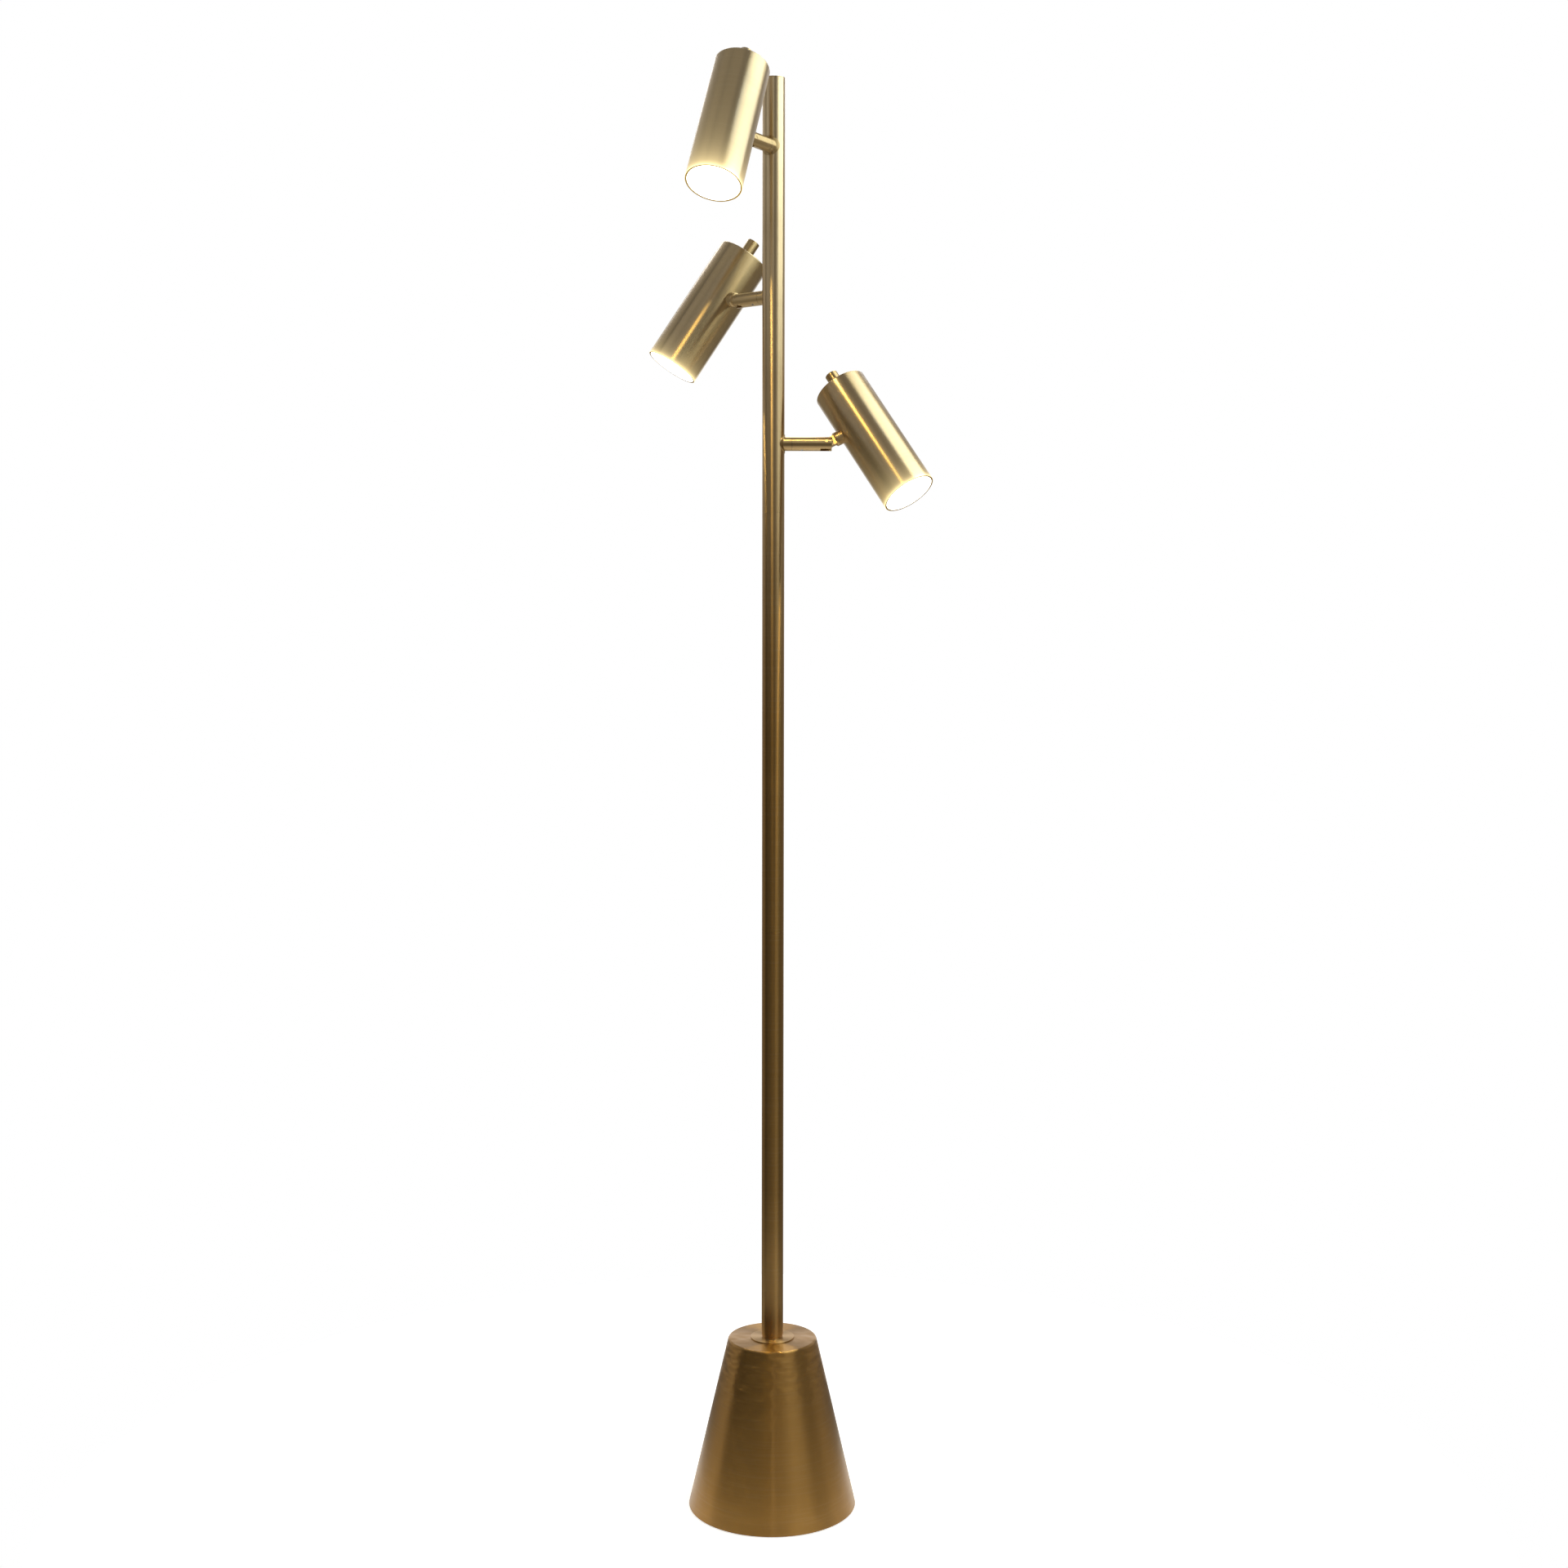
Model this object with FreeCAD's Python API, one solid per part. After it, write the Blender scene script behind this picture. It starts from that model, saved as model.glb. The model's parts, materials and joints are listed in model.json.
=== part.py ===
import FreeCAD, Part
import math
import os

# Tree floor lamp: a weighted cone base, a three-piece pole and three swivelling cylinder heads.
# Millimetres, +Z up. The origin is the centre of the base's underside; -Y is the front.

os.makedirs("parts", exist_ok=True)

V = FreeCAD.Vector
X_AXIS = V(1, 0, 0)
Y_AXIS = V(0, 1, 0)
Z_AXIS = V(0, 0, 1)

# ---------------------------------------------------------------- driving dimensions
# clearances
RUN_GAP = 0.05          # radial gap of a shaft that turns in its bore
FACE_GAP = 0.05         # gap between flat faces that slide on each other
FIT_GAP = 0.05          # radial gap of a fixed fit inside one body
CUT_OVER = 1.0          # how far a cutting tool stands past what it cuts

# base
BASE_BOTTOM_R = 98.5
BASE_TOP_R = 51.7
BASE_TOP_Z = 202.4
BASE_RIM_Z = 1.0
BASE_WALL = 1.2
BASE_SHOULDER_R = 3.0   # rounding of the cone's top edge
PAD_INSET = 4.5         # pad's edge inside the cone's rim
PAD_T = 2.0
PLATE_EDGE_GAP = 1.0    # plate's edge to the cone's wall
PLATE_T = 1.5
WEIGHT_T = 26.0
WEIGHT_LIFT = 2.5       # gap between plate and weight
NUT_POCKET_R = 13.0
NUT_POCKET_DEPTH = 10.0
PLATE_SCREW_R = 2.0
PLATE_SCREW_HEAD_R = 3.8
PLATE_SCREW_LENGTH = 12.0
PLATE_SCREW_CIRCLE_R = 60.0
PLATE_SCREW_COUNT = 3
DISC_R = 25.5
DISC_T = 1.2
DISC_EDGE_R = 0.35
NECK_INSET = 0.7        # neck's side inside the pole's
NECK_H = 2.9
OUTLET_RISE = 12.0      # cord outlet, at the back of the cone, above the weight
OUTLET_BORE_R = 3.25
OUTLET_NECK_R = 5.3
OUTLET_FLANGE_R = 7.5
OUTLET_FLANGE_T = 1.6
OUTLET_EDGE_R = 0.7
OUTLET_FACE_GAP = 0.4   # between the inner flange and the cone's curved wall

# tie rod and its nut
ROD_R = 5.0
ROD_BORE_R = 3.5
ROD_ENGAGEMENT = 22.0   # length of rod inside the foot insert
ROD_LIFT = 0.5          # rod's end above the weight's underside
NUT_FLATS = 17.0
NUT_T = 8.0

# pole
POLE_R = 12.7
POLE_WALL = 1.2
TUBE_LENGTH = 480.0
TUBE_NAMES = ("lower_tube", "middle_tube", "upper_tube")
TUBE_CHAMFER = 0.25     # bevel that shows as a hairline where two tubes meet
CAP_RIM_T = 1.0
CAP_EDGE_R = 0.6
CAP_PLUG_LENGTH = 8.0
FOOT_PLUG_LENGTH = 26.0
INSERT_LENGTH = 20.0
NIPPLE_R = 6.0
NIPPLE_BORE_R = 3.8
NIPPLE_LENGTH = 36.0
LEAD_R = 3.2
BRANCH_LEAD_R = 2.0
LEAD_END = 2.0          # leads above the rod's lower end

# arms, from the top down: direction about +Z, swivel about the arm and tilt of the knuckle
ARMS = {
    "top": {"azimuth": 244.6, "swivel": 1.7, "tilt": 29.6},
    "middle": {"azimuth": 129.2, "swivel": 31.8, "tilt": 12.9},
    "bottom": {"azimuth": 1.3, "swivel": -27.6, "tilt": 28.8},
}
TOP_ARM_DROP = 74.5     # top arm below the upper tube's top
BOTTOM_ARM_RISE = 77.5  # bottom arm above the upper tube's foot
ARM_R = 8.0
SADDLE_MARGIN = 2.75    # saddle's edge outside the arm
SADDLE_T = 0.5
BOSS_LENGTH = 8.0       # from the pole's surface to the seam
SEAM_GAP = 0.4
WASHER_BORE_GAP = 0.1
WASHER_INSET = 0.25     # washer's rim inside the arm's surface
SLEEVE_WALL = 2.0
SPINDLE_BORE_R = 2.75
PIVOT_X = 60.0          # pole axis to knuckle pin
FORK_OVERHANG = 6.0     # fork beyond the pin
FORK_EDGE_R = 0.8
FORK_SIDE_GAP = 0.1     # each side of the tongue
FORK_ROOT_GAP = 1.5     # tongue's round end to the slot's bottom
FORK_ROOT = 7.3         # solid length between the slot and the spindle's bore
SLEEVE_BORE_END = 2.0   # bore past the spindle's end
LEAD_HOLE_R = 2.5
LEAD_REACH = 1.0        # leads past the spindle's end

# groove on the spindle and the screw that runs in it
SWIVEL_LIMIT = 155.0    # degrees each way from straight down
GROOVE_W = 3.2
GROOVE_DEPTH = 1.2
STOP_MARGIN = 1.0       # degrees between the screw and the stop at the limit
GRUB_R = 1.5
GRUB_DOG_R = 1.25
GRUB_SINK = 0.3
GRUB_SHOULDER_GAP = 0.1
GRUB_DOG_GAP = 0.2      # dog's end to the groove's floor
GRUB_SOCKET = 1.5
GRUB_SOCKET_DEPTH = 1.0

# knuckle
PIN_R = 2.0
PIN_INSET = 0.4         # pin's ends inside the arm's surface
PIN_CHAMFER = 0.3
TONGUE_T = 5.0
TONGUE_W = 11.0
SHOULDER_GAP = 1.0      # round stub clear of the fork's corners at any tilt
SHOULDER_CHAMFER = 1.0
SHOULDER_ROOT = 3.0     # solid length behind the stub's shoulder
STUB_LENGTH = 8.0       # shoulder to the shade's side
TAIL_R = 5.0
TAIL_PROUD = 1.5        # tail past its nut
KNUCKLE_BORE_R = 3.0
WIRE_EXIT_R = 1.4
WIRE_EXIT_OFFSET = 4.2
KNUCKLE_NUT_FLATS = 14.0
KNUCKLE_NUT_T = 4.0

# shade, measured from the knuckle's pin
SHADE_BACK_Z = 56.0
SHADE_R = 31.0
SHADE_LENGTH = 155.5
SHADE_WALL = 1.0
SHADE_BACK_EDGE_R = 1.6
SHADE_MOUTH_EDGE_R = 0.3

# switch and knob on the shade's back
BUSHING_R = 5.0
BUSHING_OUTSIDE = 2.6
SWITCH_R = 13.0
SWITCH_T = 15.0
SWITCH_EDGE_R = 1.0
RING_NUT_R = 6.6
RING_NUT_T = 1.8
RING_NUT_SLOT_W = 1.4
SHAFT_R = 3.0
SHAFT_SUNK = 8.0        # shaft inside the switch
KNOB_R = 7.5
KNOB_TOP = 20.6         # knob's top above the shade's back
KNOB_CLEARANCE = 0.2    # knob's foot above the bushing
KNOB_EDGE_R = 0.7
KNOB_FOOT_CHAMFER = 0.3
KNOB_BORE_DEPTH = 13.0

# lamp holder and bulb
HOLDER_R = 17.5
HOLDER_LENGTH = 46.0
HOLDER_EDGE_R = 2.0
HOLDER_MOUTH_R = 1.0
BULB_BASE_R = 13.2
BULB_BASE_LENGTH = 25.0
BULB_BASE_GAP = 0.3
BULB_BASE_PROUD = 0.5   # screw shell's end outside the holder
BULB_RIDGES = 4
BULB_RIDGE_DEPTH = 0.5
BULB_CONTACT_R = 4.8
BULB_CONTACT_T = 2.0
BULB_R = 23.0
BULB_NECK_R = 12.8
BULB_LENGTH = 62.0
BULB_WALL = 1.0

# ---------------------------------------------------------------- worked-out places
PAD_R = BASE_BOTTOM_R - PAD_INSET
PLATE_Z = PAD_T
WEIGHT_Z = PLATE_Z + PLATE_T + WEIGHT_LIFT
WEIGHT_TOP_Z = WEIGHT_Z + WEIGHT_T
CONE_SLOPE = (BASE_BOTTOM_R - BASE_TOP_R) / (BASE_TOP_Z - BASE_RIM_Z)
CONE_ANGLE = math.atan(CONE_SLOPE)
OUTLET_Z = WEIGHT_TOP_Z + OUTLET_RISE
DISC_TOP_Z = BASE_TOP_Z + DISC_T
POLE_FOOT_Z = DISC_TOP_Z + NECK_H
POLE_BORE_R = POLE_R - POLE_WALL
NECK_R = POLE_R - NECK_INSET
INSERT_R = POLE_BORE_R - FIT_GAP
TUBE_TOPS = [POLE_FOOT_Z + (number + 1) * TUBE_LENGTH for number in range(len(TUBE_NAMES))]
SEAMS = TUBE_TOPS[:-1]
POLE_TOP_Z = TUBE_TOPS[-1]
ROD_BOTTOM_Z = WEIGHT_Z + ROD_LIFT
ROD_TOP_Z = POLE_FOOT_Z + ROD_ENGAGEMENT
ARM_SPACING = (TUBE_LENGTH - TOP_ARM_DROP - BOTTOM_ARM_RISE) / (len(ARMS) - 1)
for arm_number, arm_values in enumerate(ARMS.values()):
    arm_values["z"] = POLE_TOP_Z - TOP_ARM_DROP - arm_number * ARM_SPACING
SADDLE_R = ARM_R + SADDLE_MARGIN
SEAM_X = POLE_R + BOSS_LENGTH
SLEEVE_X = SEAM_X + SEAM_GAP
FORK_END_X = PIVOT_X + FORK_OVERHANG
FORK_SLOT_W = TONGUE_T + 2 * FORK_SIDE_GAP
SLOT_BOTTOM_X = PIVOT_X - TONGUE_W / 2 - FORK_ROOT_GAP
SLEEVE_BORE_END_X = SLOT_BOTTOM_X - FORK_ROOT
SPINDLE_END_X = SLEEVE_BORE_END_X - SLEEVE_BORE_END
SPINDLE_R = ARM_R - SLEEVE_WALL
GROOVE_MIDDLE_X = (SEAM_X + SPINDLE_END_X) / 2
GROOVE_FLOOR_R = SPINDLE_R - GROOVE_DEPTH
SHOULDER_X = math.hypot(FORK_OVERHANG, ARM_R) + SHOULDER_GAP
SHADE_SIDE_X = SHOULDER_X + STUB_LENGTH
SHADE_AXIS_X = SHADE_SIDE_X + SHADE_R
SHADE_INSIDE_R = SHADE_R - SHADE_WALL
SHADE_MOUTH_Z = SHADE_BACK_Z - SHADE_LENGTH
SHADE_INNER_BACK_Z = SHADE_BACK_Z - SHADE_WALL
SWITCH_LOW_Z = SHADE_INNER_BACK_Z - SWITCH_T
HOLDER_LOW_Z = SWITCH_LOW_Z - HOLDER_LENGTH
BULB_TOP_Z = HOLDER_LOW_Z - BULB_BASE_PROUD
BULB_BASE_TOP_Z = BULB_TOP_Z + BULB_BASE_LENGTH
HOLDER_FLOOR_Z = BULB_BASE_TOP_Z + BULB_CONTACT_T + FACE_GAP
NUT_CURVE_DEPTH = SHADE_INSIDE_R - math.sqrt(SHADE_INSIDE_R ** 2 - (KNUCKLE_NUT_FLATS / 2) ** 2)
NUT_INNER_X = SHADE_SIDE_X + SHADE_WALL + NUT_CURVE_DEPTH + KNUCKLE_NUT_T
TAIL_END_X = NUT_INNER_X + TAIL_PROUD
KNOB_FOOT_Z = SHADE_BACK_Z + BUSHING_OUTSIDE + KNOB_CLEARANCE


# ---------------------------------------------------------------- helpers
def cylinder(radius, start, length, direction=Z_AXIS):
    return Part.makeCylinder(radius, length, start, direction)


def tube(outer, inner, start, length, direction=Z_AXIS):
    return cylinder(outer, start, length, direction).cut(cylinder(inner, start, length, direction))


def revolved(points, centre=V(0, 0, 0)):
    """Closed outline of (radius, height) points turned about the vertical through centre."""
    corners = [centre + V(radius, 0, height) for radius, height in points]
    face = Part.Face(Part.makePolygon(corners + [corners[0]]))
    return face.revolve(centre, Z_AXIS, 360)


def hexagon(flats, height, start, direction=Z_AXIS):
    """Six-sided block standing on start, its axis along direction."""
    radius = flats / math.sqrt(3)
    corners = [V(radius * math.cos(math.radians(60 * side)),
                 radius * math.sin(math.radians(60 * side)), 0) for side in range(7)]
    block = Part.Face(Part.makePolygon(corners)).extrude(V(0, 0, height))
    block.Placement = FreeCAD.Placement(start, FreeCAD.Rotation(Z_AXIS, direction))
    return block


def edges_where(shape, test):
    return [edge for edge in shape.Edges if test(edge)]


def circles_at(shape, radius, axis_value, axis=2):
    """Circular edges of one radius whose centre has the given coordinate along one axis."""
    def matches(edge):
        curve = edge.Curve
        return (curve.TypeId == "Part::GeomCircle" and abs(curve.Radius - radius) < 0.01
                and abs(curve.Center[axis] - axis_value) < 0.01)
    return edges_where(shape, matches)


def save(name, shape):
    shape.exportStep("parts/" + name + ".step")
    print(name, len(shape.Solids), "solid(s)", round(shape.Volume / 1000, 2), "cm3", shape.isValid())


def arm_placement(arm, swivel=True):
    """From the arm's own frame (+X outward from the pole axis, +Z up) to the lamp's frame."""
    turn = FreeCAD.Rotation(Z_AXIS, arm["azimuth"])
    if swivel:
        turn = turn.multiply(FreeCAD.Rotation(X_AXIS, arm["swivel"]))
    return FreeCAD.Placement(V(0, 0, arm["z"]), turn)


def head_placement(arm):
    """From the head's own frame (origin on the pin, +X along the stub) to the lamp's frame."""
    tilt = FreeCAD.Placement(V(PIVOT_X, 0, 0), FreeCAD.Rotation(Y_AXIS, -arm["tilt"]))
    return arm_placement(arm).multiply(tilt)


def placed(shape, placement):
    copy = shape.copy()
    copy.Placement = placement.multiply(copy.Placement)
    return copy


def cone_outer_radius(z):
    return BASE_BOTTOM_R - CONE_SLOPE * (z - BASE_RIM_Z)


def cone_inner_radius(z):
    return cone_outer_radius(z) - BASE_WALL / math.cos(CONE_ANGLE)


def solid_cone():
    return Part.makeCone(BASE_BOTTOM_R, BASE_TOP_R, BASE_TOP_Z - BASE_RIM_Z, V(0, 0, BASE_RIM_Z))


# ---------------------------------------------------------------- base
def base_cone():
    outer = solid_cone()
    outer = outer.makeFillet(BASE_SHOULDER_R, circles_at(outer, BASE_TOP_R, BASE_TOP_Z))
    ceiling_z = BASE_TOP_Z - BASE_WALL
    inner = Part.makeCone(cone_inner_radius(BASE_RIM_Z), cone_inner_radius(ceiling_z),
                          ceiling_z - BASE_RIM_Z, V(0, 0, BASE_RIM_Z))
    inner = inner.makeFillet(BASE_SHOULDER_R - BASE_WALL,
                             circles_at(inner, cone_inner_radius(ceiling_z), ceiling_z))
    shell = outer.cut(inner)
    shell = shell.cut(cylinder(ROD_R + FIT_GAP, V(0, 0, ceiling_z - CUT_OVER), BASE_WALL + 2 * CUT_OVER))
    outlet = cylinder(OUTLET_NECK_R + FIT_GAP, outlet_point(-2 * BASE_WALL), 4 * BASE_WALL,
                      outlet_direction())
    return shell.cut(outlet)


def outlet_direction():
    return V(0, math.cos(CONE_ANGLE), math.sin(CONE_ANGLE))


def outlet_point(distance):
    """Point on the cord outlet's axis, counted outward from the cone's outer face."""
    return V(0, cone_outer_radius(OUTLET_Z), OUTLET_Z) + outlet_direction() * distance


def cord_bush():
    """Rubber bush: a flange inside the wall, a neck through it and a flange outside."""
    along = outlet_direction()
    inner_face = -BASE_WALL - OUTLET_FACE_GAP
    outside = cylinder(OUTLET_FLANGE_R, outlet_point(0), OUTLET_FLANGE_T, along)
    outside = outside.makeFillet(OUTLET_EDGE_R, [outside.Edges[0]])
    neck = cylinder(OUTLET_NECK_R, outlet_point(inner_face), -inner_face, along)
    inside = cylinder(OUTLET_FLANGE_R, outlet_point(inner_face - OUTLET_FLANGE_T), OUTLET_FLANGE_T, along)
    body = outside.fuse([neck, inside]).removeSplitter()
    # the cone curves away from the flat back of the outer flange and never cuts it
    bore_start = inner_face - OUTLET_FLANGE_T - CUT_OVER
    bore_length = OUTLET_FLANGE_T + CUT_OVER - bore_start
    return body.cut(cylinder(OUTLET_BORE_R, outlet_point(bore_start), bore_length, along))


def base_weight():
    gap = FIT_GAP / math.cos(CONE_ANGLE)
    weight = Part.makeCone(cone_inner_radius(WEIGHT_Z) - gap, cone_inner_radius(WEIGHT_TOP_Z) - gap,
                           WEIGHT_T, V(0, 0, WEIGHT_Z))
    weight = weight.cut(cylinder(ROD_R + FIT_GAP, V(0, 0, WEIGHT_Z), WEIGHT_T))
    weight = weight.cut(cylinder(NUT_POCKET_R, V(0, 0, WEIGHT_Z), NUT_POCKET_DEPTH))
    for centre in plate_screw_centres():
        weight = weight.cut(cylinder(PLATE_SCREW_R, centre + V(0, 0, WEIGHT_Z), PLATE_SCREW_LENGTH))
    return weight


def plate_screw_centres():
    step = 2 * math.pi / PLATE_SCREW_COUNT
    return [V(PLATE_SCREW_CIRCLE_R * math.cos(number * step),
              PLATE_SCREW_CIRCLE_R * math.sin(number * step), 0) for number in range(PLATE_SCREW_COUNT)]


def countersunk_head(centre):
    return Part.makeCone(PLATE_SCREW_HEAD_R, PLATE_SCREW_R, PLATE_T, centre + V(0, 0, PLATE_Z))


def base_plate():
    plate_r = cone_inner_radius(PLATE_Z + PLATE_T) - PLATE_EDGE_GAP
    plate = cylinder(plate_r, V(0, 0, PLATE_Z), PLATE_T)
    for centre in plate_screw_centres():
        plate = plate.cut(countersunk_head(centre))
    return plate


def plate_screws():
    screws = []
    for centre in plate_screw_centres():
        shank = cylinder(PLATE_SCREW_R, centre + V(0, 0, PLATE_Z + PLATE_T), PLATE_SCREW_LENGTH)
        screws.append(countersunk_head(centre).fuse(shank).removeSplitter())
    return Part.makeCompound(screws)


def floor_pad():
    return cylinder(PAD_R, V(0, 0, 0), PAD_T)


def base_disc():
    disc = cylinder(DISC_R, V(0, 0, BASE_TOP_Z), DISC_T)
    disc = disc.makeFillet(DISC_EDGE_R, circles_at(disc, DISC_R, DISC_TOP_Z))
    return disc.cut(cylinder(ROD_R + FIT_GAP, V(0, 0, BASE_TOP_Z), DISC_T))


def tie_rod():
    return tube(ROD_R, ROD_BORE_R, V(0, 0, ROD_BOTTOM_Z), ROD_TOP_Z - ROD_BOTTOM_Z)


def rod_nut():
    low = V(0, 0, WEIGHT_Z + NUT_POCKET_DEPTH - NUT_T)
    return hexagon(NUT_FLATS, NUT_T, low).cut(cylinder(ROD_R, low, NUT_T))


# ---------------------------------------------------------------- pole
def foot_insert():
    neck = cylinder(NECK_R, V(0, 0, DISC_TOP_Z), NECK_H)
    plug = cylinder(INSERT_R, V(0, 0, POLE_FOOT_Z), FOOT_PLUG_LENGTH)
    body = neck.fuse(plug).removeSplitter()
    body = body.cut(cylinder(ROD_R, V(0, 0, DISC_TOP_Z), ROD_TOP_Z - DISC_TOP_Z))
    return body.cut(cylinder(ROD_BORE_R, V(0, 0, ROD_TOP_Z), FOOT_PLUG_LENGTH))


def pole_tube(number):
    low = V(0, 0, TUBE_TOPS[number] - TUBE_LENGTH)
    shape = tube(POLE_R, POLE_BORE_R, low, TUBE_LENGTH)
    rims = circles_at(shape, POLE_R, low.z) + circles_at(shape, POLE_R, low.z + TUBE_LENGTH)
    shape = shape.makeChamfer(TUBE_CHAMFER, rims)
    for arm in ARMS.values():
        if low.z < arm["z"] < low.z + TUBE_LENGTH:
            hole = cylinder(SPINDLE_BORE_R, V(0, 0, 0), 2 * POLE_R, X_AXIS)
            shape = shape.cut(placed(hole, arm_placement(arm, swivel=False)))
    return shape


def pole_cap():
    rim = cylinder(POLE_R, V(0, 0, POLE_TOP_Z), CAP_RIM_T)
    rim = rim.makeFillet(CAP_EDGE_R, circles_at(rim, POLE_R, POLE_TOP_Z + CAP_RIM_T))
    plug = cylinder(INSERT_R, V(0, 0, POLE_TOP_Z - CAP_PLUG_LENGTH), CAP_PLUG_LENGTH)
    return rim.fuse(plug).removeSplitter()


def tube_inserts():
    rings = []
    for seam in SEAMS:
        for low in (seam - INSERT_LENGTH, seam):
            rings.append(tube(INSERT_R, NIPPLE_R, V(0, 0, low), INSERT_LENGTH))
    return Part.makeCompound(rings)


def coupling_nipples():
    return Part.makeCompound([tube(NIPPLE_R, NIPPLE_BORE_R, V(0, 0, seam - NIPPLE_LENGTH / 2),
                                   NIPPLE_LENGTH) for seam in SEAMS])


def pole_leads():
    top = max(arm["z"] for arm in ARMS.values()) + 2 * LEAD_R
    low = ROD_BOTTOM_Z + LEAD_END
    harness = cylinder(LEAD_R, V(0, 0, low), top - low)
    for arm in ARMS.values():
        branch = cylinder(BRANCH_LEAD_R, V(0, 0, 0), SPINDLE_END_X + LEAD_REACH, X_AXIS)
        harness = harness.fuse(placed(branch, arm_placement(arm, swivel=False)))
    return harness


# ---------------------------------------------------------------- arms, in the arm's own frame
def arm_boss():
    """Boss welded to the pole, with the spindle that the sleeve turns on."""
    boss = cylinder(ARM_R, V(0, 0, 0), SEAM_X, X_AXIS)
    saddle = cylinder(SADDLE_R, V(0, 0, 0), POLE_R + SADDLE_T, X_AXIS)
    saddle = saddle.common(cylinder(POLE_R + SADDLE_T, V(0, 0, -2 * SADDLE_R), 4 * SADDLE_R))
    spindle = cylinder(SPINDLE_R, V(SEAM_X, 0, 0), SPINDLE_END_X - SEAM_X, X_AXIS)
    body = boss.fuse([saddle, spindle]).removeSplitter()
    groove = tube(SPINDLE_R + CUT_OVER, GROOVE_FLOOR_R, V(GROOVE_MIDDLE_X - GROOVE_W / 2, 0, 0),
                  GROOVE_W, X_AXIS)
    body = body.cut(groove.cut(groove_stop()))
    body = body.cut(cylinder(POLE_R, V(0, 0, -2 * ARM_R), 4 * ARM_R))
    return body.cut(cylinder(SPINDLE_BORE_R, V(0, 0, 0), SPINDLE_END_X, X_AXIS))


def groove_stop():
    """Wedge left standing in the groove, on top, that the grub screw meets at its limits."""
    screw_half = math.degrees(math.asin(GRUB_DOG_R / GROOVE_FLOOR_R))
    half = 180 - SWIVEL_LIMIT - screw_half - STOP_MARGIN
    reach = 2 * SPINDLE_R
    corners = [V(0, 0, 0),
               V(0, -reach * math.sin(math.radians(half)), reach * math.cos(math.radians(half))),
               V(0, reach * math.sin(math.radians(half)), reach * math.cos(math.radians(half)))]
    wedge = Part.Face(Part.makePolygon(corners + [corners[0]])).extrude(V(GROOVE_W + 2 * CUT_OVER, 0, 0))
    wedge.translate(V(GROOVE_MIDDLE_X - GROOVE_W / 2 - CUT_OVER, 0, 0))
    return wedge


def swivel_washer():
    return tube(ARM_R - WASHER_INSET, SPINDLE_R + WASHER_BORE_GAP, V(SEAM_X, 0, 0),
                SEAM_GAP - FACE_GAP, X_AXIS)


def arm_sleeve():
    sleeve = cylinder(ARM_R, V(SLEEVE_X, 0, 0), FORK_END_X - SLEEVE_X, X_AXIS)
    sleeve = sleeve.makeFillet(FORK_EDGE_R, circles_at(sleeve, ARM_R, FORK_END_X, axis=0))
    sleeve = sleeve.cut(cylinder(SPINDLE_R + RUN_GAP, V(SLEEVE_X, 0, 0),
                                 SLEEVE_BORE_END_X - SLEEVE_X, X_AXIS))
    sleeve = sleeve.cut(cylinder(LEAD_HOLE_R, V(SLEEVE_BORE_END_X, 0, 0),
                                 FORK_ROOT + CUT_OVER, X_AXIS))
    slot = Part.makeBox(FORK_END_X - SLOT_BOTTOM_X + CUT_OVER, FORK_SLOT_W, 4 * ARM_R,
                        V(SLOT_BOTTOM_X, -FORK_SLOT_W / 2, -2 * ARM_R))
    sleeve = sleeve.cut(slot)
    sleeve = sleeve.cut(cylinder(PIN_R, V(PIVOT_X, -2 * ARM_R, 0), 4 * ARM_R, Y_AXIS))
    return sleeve.cut(cylinder(GRUB_R, V(GROOVE_MIDDLE_X, 0, -2 * ARM_R), 2 * ARM_R, Z_AXIS))


def grub_screw():
    """Dog-point screw in the sleeve's underside; its dog runs in the spindle's groove."""
    shoulder = SPINDLE_R + RUN_GAP + GRUB_SHOULDER_GAP
    dog_end = GROOVE_FLOOR_R + GRUB_DOG_GAP
    thread = cylinder(GRUB_R, V(GROOVE_MIDDLE_X, 0, -ARM_R + GRUB_SINK),
                      ARM_R - GRUB_SINK - shoulder)
    dog = cylinder(GRUB_DOG_R, V(GROOVE_MIDDLE_X, 0, -shoulder), shoulder - dog_end)
    socket = hexagon(GRUB_SOCKET, GRUB_SOCKET_DEPTH, V(GROOVE_MIDDLE_X, 0, -ARM_R + GRUB_SINK))
    return thread.fuse(dog).removeSplitter().cut(socket)


def pivot_pin():
    half = ARM_R - PIN_INSET
    pin = cylinder(PIN_R, V(PIVOT_X, -half, 0), 2 * half, Y_AXIS)
    ends = circles_at(pin, PIN_R, -half, axis=1) + circles_at(pin, PIN_R, half, axis=1)
    return pin.makeChamfer(PIN_CHAMFER, ends)


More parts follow.
